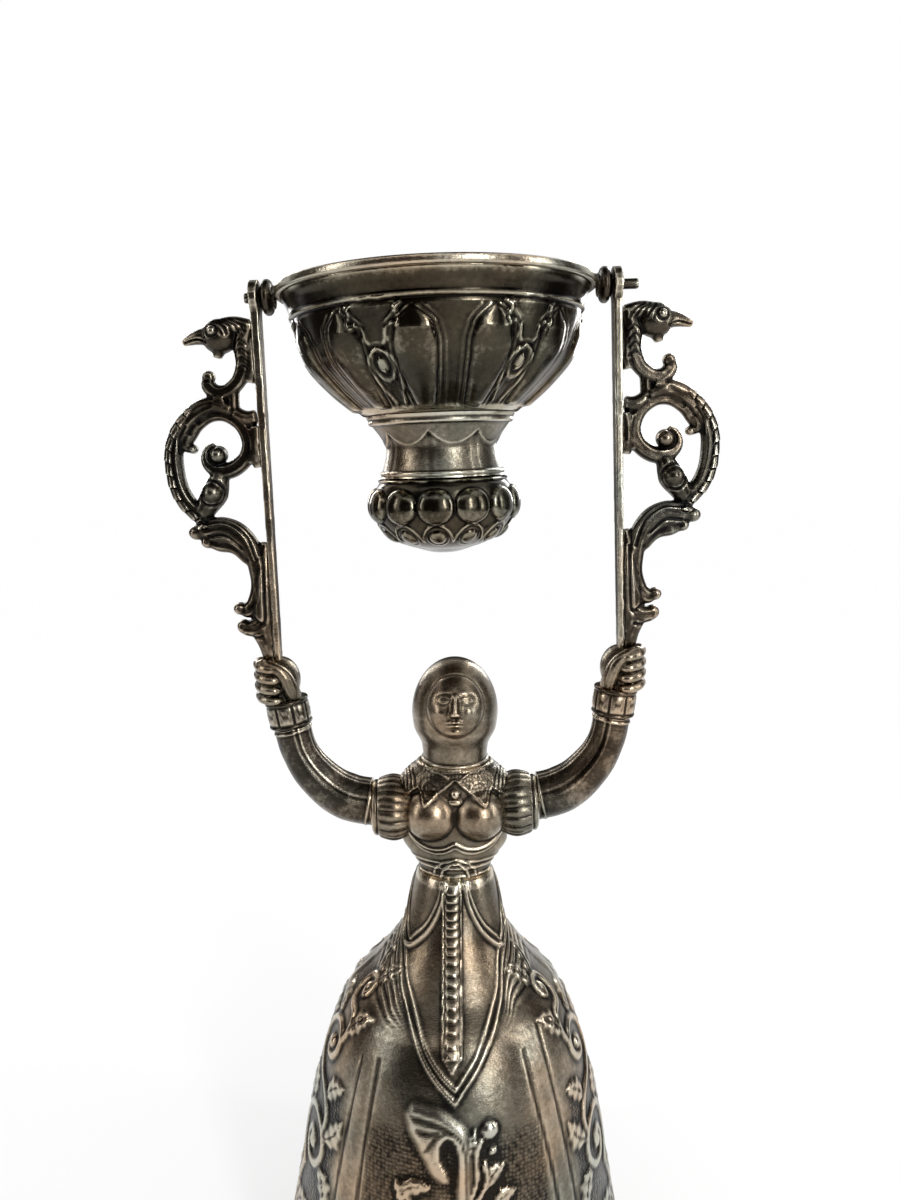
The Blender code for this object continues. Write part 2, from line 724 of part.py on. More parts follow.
def square_off(target, position, inward):
    """Cut the end of a piece flat and square to the way it runs."""
    shell = bmesh.new()
    shell.from_mesh(target.data)
    whole = shell.verts[:] + shell.edges[:] + shell.faces[:]
    bmesh.ops.bisect_plane(shell, geom=whole, plane_co=position, plane_no=inward, clear_inner=True)
    rim = [edge for edge in shell.edges if edge.is_boundary]
    bmesh.ops.contextual_create(shell, geom=rim)
    bmesh.ops.recalc_face_normals(shell, faces=shell.faces)
    shell.to_mesh(target.data)
    shell.free()


def make_cuff():
    lip = CUFF_RADIUS * 1.04
    waist = CUFF_RADIUS * 0.95
    rows = [(1.0, waist), (0.93, lip), (0.80, lip), (0.72, waist), (0.28, waist), (0.20, lip)]
    profile = [(0.0, CUFF_HEIGHT)]
    profile += [(radius, CUFF_HEIGHT * share) for share, radius in rows]
    profile += [(waist, 0.0), (0.0, 0.0)]
    place = Vector((WRIST_X, 0.0, CUFF_BOTTOM_RISE))
    turn = (0.0, CUFF_SPLAY, 0.0)
    return turned("right_cuff", profile, silver_grey, 16, parent=raised_group, location=place, rotation=turn)


def make_hand():
    """Fist closed round the foot of the bracket strap, on top of the cuff."""
    cuff_top = Vector((WRIST_X, 0.0, CUFF_BOTTOM_RISE)) + (CUFF_HEIGHT + SEAT_GAP) * cuff_axis()
    centre = Vector((STRAP_OUTER_X - HAND_INSET, 0.0, HAND_RISE))
    radii = (HAND_WIDTH / 2, HAND_DEPTH / 2, HAND_HEIGHT / 2)
    fist = ball("right_hand", centre, radii, silver_grey, 10, 6, parent=raised_group)
    wrist_points = [(cuff_top - cuff_axis() * 0.001, SLEEVE_WRIST_RADIUS * 0.85)]
    wrist_points += [(centre - Vector((0.0, 0.0, HAND_HEIGHT * 0.2)), HAND_WIDTH * 0.40)]
    wrist = tube("wrist", wrist_points, silver_grey, 1, 10, parent=raised_group)
    fingers = []
    for i in range(4):
        z = HAND_RISE + (i - 1.5) * FINGER_RADIUS * 1.9
        knuckle = Vector((centre.x + HAND_WIDTH * 0.40, -HAND_DEPTH * 0.12, z))
        bend = Vector((centre.x + HAND_WIDTH * 0.30, -HAND_DEPTH * 0.41, z))
        tip = Vector((centre.x + HAND_WIDTH * 0.01, -HAND_DEPTH * 0.48, z))
        points = [(knuckle, FINGER_RADIUS), (bend, FINGER_RADIUS), (tip, FINGER_RADIUS * 0.85)]
        fingers.append(tube("finger", points, silver_grey, 1, 6, parent=raised_group))
    thumb_root = Vector((centre.x - HAND_WIDTH * 0.36, -HAND_DEPTH * 0.20, HAND_RISE - HAND_HEIGHT * 0.22))
    thumb_tip = Vector((centre.x - HAND_WIDTH * 0.16, -HAND_DEPTH * 0.42, HAND_RISE + HAND_HEIGHT * 0.34))
    thumb_points = [(thumb_root, FINGER_RADIUS * 1.2), (thumb_tip, FINGER_RADIUS)]
    thumb = tube("thumb", thumb_points, silver_grey, 1, 6, parent=raised_group)
    fuse(fist, [wrist, thumb] + fingers)
    apply_modifiers(fist)
    square_off(fist, cuff_top, cuff_axis())
    strap_slot = strap_body("strap_slot", SEAT_GAP)
    combine(fist, make_cutter(strap_slot), "DIFFERENCE")
    return smooth_shading(apply_modifiers(fist))


# Brackets

def strap_body(name, allowance):
    """Flat bar with a round eye, tapering in thickness and width towards the hand."""
    eye = EYE_RADIUS + allowance
    top_half = STRAP_WIDTH_TOP / 2 + allowance
    foot_half = STRAP_WIDTH_FOOT / 2 + allowance
    foot_z = PIVOT_RISE - STRAP_FOOT_DROP - allowance
    join_angle = math.asin(top_half / eye)
    arc_steps = 14
    sweep = 2 * (math.pi - join_angle)
    angles = [-math.pi / 2 + join_angle + sweep * i / arc_steps for i in range(arc_steps + 1)]
    outline = [(eye * math.cos(a), PIVOT_RISE + eye * math.sin(a)) for a in angles]
    outline += [(-foot_half, foot_z), (foot_half, foot_z)]
    outer = STRAP_OUTER_X + allowance
    inner = STRAP_OUTER_X - STRAP_EYE_THICKNESS - allowance
    bar = prism(name, outline, inner, outer, silver_bright, parent=raised_group)
    bar.data.transform(Matrix.Rotation(math.radians(-90), 4, "Z"))
    hinge_z = PIVOT_RISE - EYE_RADIUS
    length = STRAP_FOOT_DROP + eye
    taper_low = (-STRAP_EYE_THICKNESS, -2 * eye, -length)
    wedge = block(name + "_taper", taper_low, (0.0, 2 * eye, 0.0), silver_bright, parent=raised_group,
                  location=(inner, 0.0, hinge_z), rotation=(0.0, -STRAP_TAPER, 0.0))
    combine(bar, make_cutter(wedge), "DIFFERENCE")
    return apply_modifiers(bar)


def make_strap():
    strap = strap_body("right_bracket_strap", 0.0)
    reach = 2 * STRAP_EYE_THICKNESS
    bore_radius = PIN_RADIUS + PIN_CLEARANCE
    bore = turned("eye_bore", [(0.0, reach), (bore_radius, reach), (bore_radius, -reach), (0.0, -reach)],
                  silver_bright, PIN_SEGMENTS, parent=raised_group,
                  location=(STRAP_OUTER_X, 0.0, PIVOT_RISE), rotation=(0.0, math.radians(90), 0.0))
    combine(strap, make_cutter(bore), "DIFFERENCE")
    return smooth_shading(apply_modifiers(strap))


def scroll_point(out, down):
    """Place on the scroll: out from the strap's outer face, down from the pivot axis."""
    return Vector((STRAP_OUTER_X + SEAT_GAP + out, 0.0, PIVOT_RISE - down))


def scroll_bar(name, stations, resolution):
    points = [(scroll_point(out, down), radius) for out, down, radius in in_units(stations)]
    return tube(name, points, silver_dark, resolution, 6, SCROLL_DEPTH_SHARE, parent=raised_group)


def scroll_ball(name, out, down, radius, stretch=(1.0, 1.0, 1.0)):
    radii = tuple(radius * share for share in stretch)
    centre = scroll_point(out * SCROLL_UNIT, down * SCROLL_UNIT)
    return ball(name, centre, radii, silver_dark, 8, 6, parent=raised_group)


def make_scroll():
    """Cast openwork scroll with a bird's head, soldered to the outside of the strap."""
    neck = [(0.6, 5.0, 1.9), (2.3, 9.4, 2.1), (2.0, 14.4, 1.5), (4.2, 18.8, 1.3), (8.4, 18.7, 1.4),
            (9.8, 16.4, 1.3), (9.6, 15.0, 0.6)]
    outer_scroll = [(0.5, 27.0, 1.5), (3.4, 23.6, 1.6), (9.4, 22.2, 1.6), (15.6, 25.4, 1.7),
                    (18.9, 32.0, 1.7), (18.0, 39.8, 1.8), (12.8, 44.8, 1.9)]
    inner_curl = [(0.3, 26.2, 1.3), (1.2, 31.0, 1.8), (4.4, 34.9, 1.8), (9.4, 35.0, 1.5),
                  (11.2, 31.8, 1.1), (8.6, 29.5, 0.8)]
    acanthus = [(15.0, 48.2, 1.1), (13.0, 47.6, 2.0), (8.2, 47.0, 1.9), (3.8, 50.6, 2.0), (1.8, 56.6, 1.7),
                (2.2, 61.4, 1.6), (5.4, 64.0, 1.7), (7.2, 63.2, 0.9)]
    long_bars = {"outer_scroll": outer_scroll, "inner_curl": inner_curl}
    brow = [(0.3, 5.8, 1.7), (4.0, 5.6, 2.2), (7.4, 6.6, 2.6)]
    throat = [(6.6, 8.2, 2.2), (7.6, 11.8, 0.9)]
    beak = [(8.8, 7.2, 2.0), (11.5, 7.5, 1.3), (14.5, 8.5, 0.5)]
    leaf = [(16.8, 27.0, 1.5), (14.6, 28.6, 1.8), (13.0, 28.4, 0.9)]
    lip_root = [(2.9, 18.6, 1.2), (3.6, 22.4, 1.3)]
    lip_back = [(8.6, 18.6, 1.4), (8.8, 21.6, 1.4)]
    pearl_web = [(8.8, 35.2, 2.0), (9.6, 40.0, 2.9), (12.4, 45.0, 2.4)]
    under_leaf = [(12.6, 50.4, 0.8), (10.0, 50.4, 1.7), (6.4, 50.6, 1.4), (3.6, 52.8, 1.3)]
    web = [(0.3, 50.6, 1.0), (0.9, 55.0, 1.8), (1.2, 61.0, 2.3), (1.2, 67.0, 2.4), (0.9, 73.0, 1.4)]
    low_spur = [(1.6, 66.0, 1.9), (3.8, 67.7, 1.7), (6.0, 68.0, 1.7), (7.2, 67.2, 0.9)]
    foot_knob = [(0.2, 72.0, 1.0), (1.0, 73.2, 1.9), (1.6, 73.5, 1.5)]
    short_bars = {"acanthus": acanthus, "brow": brow, "throat": throat, "beak": beak, "leaf": leaf,
                  "lip_root": lip_root, "lip_back": lip_back, "pearl_web": pearl_web,
                  "under_leaf": under_leaf, "web": web, "low_spur": low_spur, "foot_knob": foot_knob}
    scroll = scroll_bar("right_bracket_scroll", neck, 2)
    pieces = [scroll_bar(name, stations, 2) for name, stations in long_bars.items()]
    pieces += [scroll_bar(name, stations, 1) for name, stations in short_bars.items()]
    pieces.append(scroll_ball("bird_head", 6.8, 7.4, BIRD_HEAD_RADIUS, (1.05, 0.85, 1.0)))
    pieces.append(scroll_ball("curl_eye", 8.9, 31.8, PEARL_RADIUS * 0.72))
    pieces.append(scroll_ball("pearl", 9.9, 39.6, PEARL_RADIUS, (1.0, 1.1, 1.0)))
    fuse(scroll, pieces)
    strap_side = block("strap_side", (0.0, -STRAP_OUTER_X, 0.0),
                       (STRAP_OUTER_X + SEAT_GAP, STRAP_OUTER_X, 2 * PIVOT_RISE), silver_dark,
                       parent=raised_group)
    combine(scroll, make_cutter(strap_side), "DIFFERENCE")
    return smooth_shading(apply_modifiers(scroll))


def in_units(stations):
    return [tuple(value * SCROLL_UNIT for value in station) for station in stations]


# Small cup; heights are measured from the pivot axis

BOWL_LIP_RADIUS = RIM_RADIUS - RIM_BAND_THICKNESS - SEAT_GAP
BOWL_STATIONS = [
    (-BOWL_FOOT_DROP, BOWL_FOOT_RADIUS),
    (-(BOWL_FOOT_DROP + BOWL_BELLY_DROP) / 2, (BOWL_FOOT_RADIUS + BOWL_BELLY_RADIUS) / 2 + LOBE_RISE),
    (-BOWL_BELLY_DROP, BOWL_BELLY_RADIUS),
    (-SMOOTH_BAND_DROP, SMOOTH_BAND_RADIUS),
    (RIM_TOP - RIM_BAND_HEIGHT, BOWL_LIP_RADIUS),
]


def bowl_radius(height):
    return smooth_value(BOWL_STATIONS, height)


def bowl_lobes(bowl):
    """Pointed lobes chased up from inside, two for each of the panels round the bowl."""
    top = -SMOOTH_BAND_DROP
    bottom = -BOWL_FOOT_DROP
    for vertex in bowl.data.vertices:
        x, y, z = vertex.co
        radius = math.hypot(x, y)
        on_outer_face = radius > bowl_radius(z) - BOWL_WALL / 4
        if not (on_outer_face and bottom < z < top):
            continue
        height_share = (top - z) / (top - bottom)
        fullness = math.sin(math.pi * height_share ** 0.75)
        wave = abs(math.sin(LOBE_COUNT / 2 * math.atan2(y, x)))
        vertex.co.xy *= 1.0 + LOBE_RISE * fullness * (wave - 0.4) / radius


def make_bowl():
    band_low = RIM_TOP - RIM_BAND_HEIGHT
    inner_floor = -BOWL_FOOT_DROP + 2 * BOWL_WALL
    chased = evenly(-SMOOTH_BAND_DROP, -BOWL_FOOT_DROP + BOWL_WALL, 6)
    profile = [(BOWL_LIP_RADIUS - BOWL_WALL, RIM_TOP), (BOWL_LIP_RADIUS, RIM_TOP)]
    profile += [(BOWL_LIP_RADIUS, band_low)]
    profile += [(bowl_radius(z), z) for z in chased]
    profile += [(BOWL_FOOT_RADIUS, -BOWL_FOOT_DROP), (0.0, -BOWL_FOOT_DROP)]
    inside = [(0.0, inner_floor)]
    inside += [(bowl_radius(z) - 1.5 * BOWL_WALL, z) for z in evenly(inner_floor, -SMOOTH_BAND_DROP, 3)]
    bowl = turned("cup_bowl", inside + profile, silver_dark, BOWL_SEGMENTS, parent=cup_pivot)
    bowl_lobes(bowl)
    return smooth_shading(bowl)


def make_rim_band():
    low = RIM_TOP - RIM_BAND_HEIGHT
    inner = BOWL_LIP_RADIUS + SEAT_GAP
    soft = RIM_BAND_HEIGHT * 0.2
    profile = [(inner, RIM_TOP), (RIM_RADIUS - soft, RIM_TOP), (RIM_RADIUS, RIM_TOP - soft)]
    profile += [(RIM_RADIUS, low), (inner, low)]
    return turned("cup_rim_band", profile, silver_bright, RING_SEGMENTS, parent=cup_pivot)


NECK_TOP_DROP = BOWL_FOOT_DROP + SEAT_GAP


def neck_radius(height):
    stations = [
        (-NECK_FOOT_DROP, NECK_FOOT_RADIUS),
        (-NECK_WAIST_DROP, NECK_WAIST_RADIUS),
        (-NECK_TOP_DROP, NECK_TOP_RADIUS),
    ]
    return smooth_value(stations, height)


def make_neck():
    heights = evenly(-NECK_TOP_DROP, -NECK_FOOT_DROP, 4)
    outer = [(neck_radius(z), z) for z in heights]
    inner = [(neck_radius(z) - NECK_WALL, z) for z in reversed(heights[::2])]
    return turned("cup_neck", outer + inner, silver_bright, NECK_SEGMENTS, parent=cup_pivot)


KNOP_TOP_DROP = NECK_FOOT_DROP + SEAT_GAP
KNOP_ROUNDNESS = 0.42        # below the widest place; a half gives a round bottom, less a fuller one


def knop_level(drop, floor_drop):
    """One at the top and at the floor of the knop, nought at its widest place."""
    end = KNOP_TOP_DROP if drop < KNOP_WIDEST_DROP else floor_drop
    return (KNOP_WIDEST_DROP - drop) / (KNOP_WIDEST_DROP - end)


def knop_radius(drop, set_back):
    """Radius at a drop below the pivot; set_back is nought outside and the wall inside."""
    widest = KNOP_RADIUS - set_back
    top = NECK_FOOT_RADIUS - set_back
    fullness = max(1.0 - knop_level(drop, KNOP_BOTTOM_DROP - set_back) ** 2, 0.0)
    if drop < KNOP_WIDEST_DROP:
        return top + (widest - top) * math.sqrt(fullness)
    return widest * fullness ** KNOP_ROUNDNESS


def knop_drops(shares_above, shares_below, floor_drop):
    """Heights for the turned outline, each a share of the way from the widest place to an end."""
    above = [KNOP_WIDEST_DROP + (KNOP_TOP_DROP - KNOP_WIDEST_DROP) * share for share in shares_above]
    below = [KNOP_WIDEST_DROP + (floor_drop - KNOP_WIDEST_DROP) * share for share in shares_below]
    return above + below


def make_knop():
    """Hollow knop, full at the shoulder and round below, with a ring of lobes."""
    floor_drop = KNOP_BOTTOM_DROP - KNOP_WALL
    outer_drops = knop_drops((1.0, 0.85, 0.5, 0.0), (0.35, 0.65, 0.87), KNOP_BOTTOM_DROP)
    inner_drops = knop_drops((1.0, 0.6, 0.0), (0.45, 0.8), floor_drop)
    profile = [(knop_radius(drop, 0.0), -drop) for drop in outer_drops] + [(0.0, -KNOP_BOTTOM_DROP)]
    inside = [(knop_radius(drop, KNOP_WALL), -drop) for drop in inner_drops] + [(0.0, -floor_drop)]
    knop = turned("cup_knop", inside[::-1] + profile, silver_dark, KNOP_SEGMENTS, parent=cup_pivot)
    for vertex in knop.data.vertices:
        x, y, z = vertex.co
        radius = math.hypot(x, y)
        level = knop_level(-z, KNOP_BOTTOM_DROP)
        on_outer_face = radius > knop_radius(-z, 0.0) - KNOP_WALL / 4
        if on_outer_face and radius > 0.0:
            wave = abs(math.sin(KNOP_LOBES / 2 * math.atan2(y, x)))
            vertex.co.xy *= 1.0 + KNOP_LOBE_RISE * (1 - level * level) * wave / radius
    return smooth_shading(knop)


# Pivots

def make_pivot_bead(side, name):
    """Turned bead between the rim of the small cup and the strap, bored for the pin."""
    start = RIM_RADIUS + SEAT_GAP
    end = STRAP_OUTER_X - STRAP_EYE_THICKNESS - SEAT_GAP
    bore = PIN_RADIUS + SEAT_GAP
    middle = (start + end) / 2
    quarter = (end - start) / 4
    profile = [(bore, end), (BEAD_SHOULDER_RADIUS, end), (BEAD_RADIUS * 0.92, middle + quarter)]
    profile += [(BEAD_RADIUS, middle), (BEAD_RADIUS * 0.92, middle - quarter)]
    profile += [(BEAD_SHOULDER_RADIUS, start), (bore, start)]
    turn = (0.0, side * math.radians(90), 0.0)
    return turned(name, profile, silver_dark, BEAD_SEGMENTS, parent=cup_pivot, rotation=turn)


def make_pivot_pin(side, name, projection):
    start = RIM_RADIUS + 2 * SEAT_GAP
    end = STRAP_OUTER_X + projection
    profile = [(0.0, end), (PIN_RADIUS, end), (PIN_RADIUS, start), (0.0, start)]
    turn = (0.0, side * math.radians(90), 0.0)
    return turned(name, profile, silver_dark, PIN_SEGMENTS, parent=cup_pivot, rotation=turn)


# The whole object

clear_scene()
parts_collection = new_collection("wager_cup")
cutters_collection = new_collection("cutters")
silver_bright = new_material("polished_silver", (0.62, 0.59, 0.54), 0.22)
silver_grey = new_material("worn_silver", (0.42, 0.39, 0.34), 0.32)
silver_dark = new_material("oxidised_silver", (0.27, 0.25, 0.22), 0.38)

raised_group = add_object("raised_group", None, None, location=(0.0, 0.0, CHEST_HEIGHT),
                          rotation=(0.0, -LEAN, 0.0))
cup_pivot = add_object("cup_pivot", None, None, parent=raised_group, location=(0.0, 0.0, PIVOT_RISE))

make_skirt_cup()
make_foot_ring()
make_bodice()
make_head()
for right_piece in (make_puff_sleeve, make_sleeve, make_cuff, make_hand, make_strap, make_scroll):
    right_object = right_piece()
    mirrored_copy(right_object, right_object.name.replace("right", "left"))
make_bowl()
make_rim_band()
make_neck()
make_knop()
make_pivot_bead(1, "right_pivot_bead")
make_pivot_bead(-1, "left_pivot_bead")
make_pivot_pin(1, "right_pivot_pin", PIN_PROJECTION_RIGHT)
make_pivot_pin(-1, "left_pivot_pin", PIN_PROJECTION_LEFT)
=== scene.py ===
# %% [markdown]
# # A silver wager cup, dressed piece by piece
# A wager cup is two cups in one. The figure's bell skirt, turned over, is the large cup, and the small
# cup swings between the two brackets that she holds up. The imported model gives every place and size.
# Here each piece is modelled again with the chasing, casting marks and tarnish of old silver.

# %% Load the frame
import math

import bpy
import numpy as np
from mathutils import Matrix, Vector


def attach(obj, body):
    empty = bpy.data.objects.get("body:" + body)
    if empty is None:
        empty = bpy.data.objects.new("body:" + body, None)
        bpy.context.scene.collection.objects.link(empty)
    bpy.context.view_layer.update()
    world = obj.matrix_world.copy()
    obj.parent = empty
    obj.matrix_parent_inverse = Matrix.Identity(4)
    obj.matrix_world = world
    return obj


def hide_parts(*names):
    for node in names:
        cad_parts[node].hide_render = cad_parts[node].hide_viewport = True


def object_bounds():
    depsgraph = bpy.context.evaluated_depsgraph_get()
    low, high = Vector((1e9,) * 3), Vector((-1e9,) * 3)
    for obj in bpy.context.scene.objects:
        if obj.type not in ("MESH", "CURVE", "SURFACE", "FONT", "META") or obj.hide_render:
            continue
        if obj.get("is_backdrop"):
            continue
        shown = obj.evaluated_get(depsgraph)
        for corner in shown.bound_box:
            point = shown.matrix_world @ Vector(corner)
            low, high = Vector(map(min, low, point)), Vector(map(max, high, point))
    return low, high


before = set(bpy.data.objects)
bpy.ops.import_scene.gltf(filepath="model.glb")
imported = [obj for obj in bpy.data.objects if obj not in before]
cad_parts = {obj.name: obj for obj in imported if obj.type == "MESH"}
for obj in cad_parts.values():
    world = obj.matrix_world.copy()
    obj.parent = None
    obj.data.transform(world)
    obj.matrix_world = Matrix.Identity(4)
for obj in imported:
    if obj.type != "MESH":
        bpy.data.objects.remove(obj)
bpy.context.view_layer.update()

# %% [markdown]
# ## The camera
# The photograph was taken from close by and a little above, so the brackets look wide against the
# skirt. The camera stands about 19 cm in front of the cup, tilted down by nine and a half degrees.

# %% The camera
CAMERA_PLACE = (-0.0011, -0.194, 0.2024)
CAMERA_DOWN = 9.46
LENS_MM, SENSOR_MM = 27.03, 36

bpy.context.scene.view_settings.view_transform = "Standard"
bpy.ops.object.camera_add(location=CAMERA_PLACE, rotation=(math.radians(90 - CAMERA_DOWN), 0, 0))
camera = bpy.context.object
camera.data.lens = LENS_MM
camera.data.sensor_width = SENSOR_MM
camera.data.clip_start = 0.01
bpy.context.scene.camera = camera
print("camera lens", camera.data.lens)

# %% [markdown]
# ## Helpers for turned work
# Most of a cup is turned or raised on a stake, so most pieces start as one point that is extruded
# along the outline and then spun. Numbers are in millimetres, as a silversmith would write them.

# %% Spin an outline
MM = 0.001


def alone(piece):
    """Selects one piece and nothing else."""
    bpy.ops.object.select_all(action="DESELECT")
    piece.select_set(True)
    bpy.context.view_layer.objects.active = piece


def edit_all(piece):
    """Opens one piece in edit mode with all of it selected."""
    alone(piece)
    bpy.ops.object.mode_set(mode="EDIT")
    bpy.ops.mesh.select_all(action="SELECT")


def spin_shell(name, outline, steps):
    """Spins (radius, height) points round Z; the outline runs round the whole wall."""
    bpy.ops.object.select_all(action="DESELECT")
    bpy.ops.mesh.primitive_plane_add(size=MM)
    shell = bpy.context.object
    shell.name = shell.data.name = name
    bpy.ops.object.mode_set(mode="EDIT")
    bpy.ops.mesh.merge(type="CENTER")
    bpy.ops.transform.translate(value=(outline[0][0] * MM, 0, outline[0][1] * MM))
    for (r0, h0), (r1, h1) in zip(outline, outline[1:]):
        step = ((r1 - r0) * MM, 0, (h1 - h0) * MM)
        bpy.ops.mesh.extrude_region_move(TRANSFORM_OT_translate={"value": step})
    bpy.ops.mesh.select_all(action="SELECT")
    bpy.ops.mesh.spin(steps=steps, angle=math.tau, center=(0, 0, 0), axis=(0, 0, 1))
    bpy.ops.mesh.select_all(action="SELECT")
    bpy.ops.mesh.remove_doubles(threshold=2e-6)
    bpy.ops.mesh.normals_make_consistent(inside=False)
    bpy.ops.object.mode_set(mode="OBJECT")
    return shell


def rows(start, end, count):
    """Even steps from start to end, both included."""
    return [start + (end - start) * i / count for i in range(count + 1)]


def flow(stations, at):
    """Smooth value at a number, or at many, through rising (at, value) stations."""
    t, v = (np.array(column, float) for column in zip(*stations))
    slope = np.diff(v) / np.diff(t)
    both = slope[:-1] * slope[1:]
    total = np.where(both > 0, slope[:-1] + slope[1:], 1.0)
    inner = np.where(both > 0, 2 * both / total, 0.0)
    tangent = np.concatenate([slope[:1], inner, slope[-1:]])
    x = np.clip(np.asarray(at, float), t[0], t[-1])
    i = np.clip(np.searchsorted(t, x, side="right") - 1, 0, len(t) - 2)
    width = t[i + 1] - t[i]
    s = (x - t[i]) / width
    start = (1 + 2 * s) * (1 - s) ** 2 * v[i] + s * (1 - s) ** 2 * width * tangent[i]
    return start + s * s * (3 - 2 * s) * v[i + 1] + s * s * (s - 1) * width * tangent[i + 1]


def profile(stations, heights, less=0.0):
    """The (radius, height) points of an outline at many heights; less takes a wall off."""
    return [(float(flow(stations, z)) - less, z) for z in heights]


print("helpers for turned work are ready")

# %% [markdown]
# ## Helpers for chasing
# Chasing pushes the sheet up from behind and draws lines into it from the front. Each chased form is
# a height over the plain surface, so it is worked out for all points at once and the points are then
# moved along their own normals. Modelling it with operators would take thousands of small moves.

# %% Chased lines, bosses and panels


def points_of(piece):
    """Points of a mesh in millimetres."""
    flat = np.empty(len(piece.data.vertices) * 3)
    piece.data.vertices.foreach_get("co", flat)
    return flat.reshape(-1, 3) / MM


def put_points(piece, points):
    """Moves the points of a mesh to new places."""
    piece.data.vertices.foreach_set("co", (points * MM).ravel())
    piece.data.update()


def round_axis(piece):
    """Points of a turned piece, and for each its turn from the front in degrees, radius and height."""
    p = points_of(piece)
    return p, np.degrees(np.arctan2(p[:, 0], -p[:, 1])), np.hypot(p[:, 0], p[:, 1]), p[:, 2]


def normals_of(piece):
    """The way each point of a mesh faces."""
    flat = np.empty(len(piece.data.vertices) * 3)
    piece.data.vertices.foreach_get("normal", flat)
    return flat.reshape(-1, 3)


def push_out(piece, height):
    """Moves each point along its normal by its own height."""
    put_points(piece, points_of(piece) + normals_of(piece) * height[:, None])


def soft_step(x):
    """Goes gently from 0 to 1."""
    x = np.clip(x, 0, 1)
    return x * x * (3 - 2 * x)


def ridge(at, middle, half, rise, power=1):
    """A rounded ridge across one measure, or a groove where rise is below zero."""
    return rise * np.clip(1 - ((at - middle) / half) ** 2, 0, 1) ** power


def smooth_line(points, steps=6):
    """More points on a soft curve through the given ones."""
    p = np.array(points, float)
    p = np.vstack([2 * p[0] - p[1], p, 2 * p[-1] - p[-2]])
    t = np.linspace(0, 1, steps, endpoint=False)[:, None]
    spans = []
    for a, b, c, d in zip(p, p[1:], p[2:], p[3:]):
        spans.append(0.5 * (2 * b + (c - a) * t + (2 * a - 5 * b + 4 * c - d) * t ** 2
                            + (3 * b - a - 3 * c + d) * t ** 3))
    return np.vstack(spans + [p[-2:-1]])


def gap_to(line, u, v):
    """Distance of each (u, v) to the nearest stretch of a line."""
    best = np.full(len(u), 1e9)
    for (u0, v0), (u1, v1) in zip(line, line[1:]):
        du, dv = u1 - u0, v1 - v0
        t = np.clip(((u - u0) * du + (v - v0) * dv) / (du * du + dv * dv + 1e-12), 0, 1)
        best = np.minimum(best, np.hypot(u - u0 - t * du, v - v0 - t * dv))
    return best


def box_round(u, v, line, room):
    """Which places lie in a line's box with some room round it; only those are worked out."""
    low, high = line.min(0) - room, line.max(0) + room
    return (u > low[0]) & (u < high[0]) & (v > low[1]) & (v < high[1])


def chase(u, v, line, width, height, steps=6):
    """A raised line, or a sunk one where the height is below zero."""
    line = smooth_line(line, steps)
    near = box_round(u, v, line, width)
    lift = np.zeros(len(u))
    lift[near] = ridge(gap_to(line, u[near], v[near]), 0, width, height, 1.5)
    return lift


def chase_all(u, v, lines):
    """Several chased lines, each given as (line, width, height)."""
    return sum(chase(u, v, *line) for line in lines)


def boss(u, v, centre, size, height, power=1.0):
    """A round or oval dome."""
    share = ((u - centre[0]) / size[0]) ** 2 + ((v - centre[1]) / size[1]) ** 2
    return height * np.clip(1 - share, 0, 1) ** power


def panel(u, v, outline, height, edge, steps=6):
    """A raised field inside an outline, with a soft step at its edge."""
    line = smooth_line(outline + outline[:1], steps)
    near = box_round(u, v, line, edge)
    x, y = u[near], v[near]
    inside = np.zeros(len(x), bool)
    for (u0, v0), (u1, v1) in zip(line, line[1:]):
        if v0 != v1:
            crosses = ((v0 > y) != (v1 > y)) & (x < (u1 - u0) * (y - v0) / (v1 - v0) + u0)
            inside ^= crosses
    lift = np.zeros(len(u))
    lift[near] = height * soft_step(0.5 + np.where(inside, 1, -1) * gap_to(line, x, y) / (2 * edge))
    return lift


print("helpers for chasing are ready")

# %% [markdown]
# ## Where old silver is bright and where it is black
# Polishing reaches the high points and leaves tarnish in the hollows. To know which is which, a copy
# of the points is smoothed: a point that stands proud of the smoothed skin is high. The result is
# kept on the mesh as an attribute named wear, and every finish reads it.

# %% Record the wear


def record_wear(piece, rounds=10, depth=0.1):
    """Stores 1 where a point stands proud and 0 where it lies deep; depth in millimetres."""
    mesh = piece.data
    points = points_of(piece)
    ends = np.empty(len(mesh.edges) * 2, int)
    mesh.edges.foreach_get("vertices", ends)
    a, b = ends.reshape(-1, 2).T
    size = len(points)
    count = np.maximum(np.bincount(a, minlength=size) + np.bincount(b, minlength=size), 1)
    soft = points.copy()
    for _ in range(rounds):
        mean = [np.bincount(a, soft[b, k], size) + np.bincount(b, soft[a, k], size) for k in range(3)]
        soft = 0.4 * soft + 0.6 * np.stack(mean, 1) / count[:, None]
    proud = ((points - soft) * normals_of(piece)).sum(1)
    mark(piece, "wear", np.clip(0.5 + (proud - np.median(proud)) / (2 * depth), 0, 1))


def mark(piece, name, values):
    """Keeps one number for each point in a new layer, which the finishes read."""
    layer = piece.data.attributes.new(name, "FLOAT", "POINT")
    layer.data.foreach_set("value", values.astype(np.float32))


def rub_clean(piece, places=True, level=0.72):
    """Gives some places, or all, an even wear, as washing and wiping leave it."""
    layer = piece.data.attributes["wear"]
    wear = np.empty(len(piece.data.vertices), np.float32)
    layer.data.foreach_get("value", wear)
    layer.data.foreach_set("value", np.where(places, np.float32(level), wear))


print("helpers for wear are ready")

# %% [markdown]
# ## Silver
# One recipe makes all the finishes: black-brown oxide in the hollows, warm grey on the middle level
# and bright metal on the high points. Cloudy noise moves the limits between them, so that no two
# places tarnish alike. Fine scratches and dents go into the roughness and the bump. Where a piece has
# an attribute named matted, the ground is covered with the small dots of a matting punch.

# %% Silver finishes


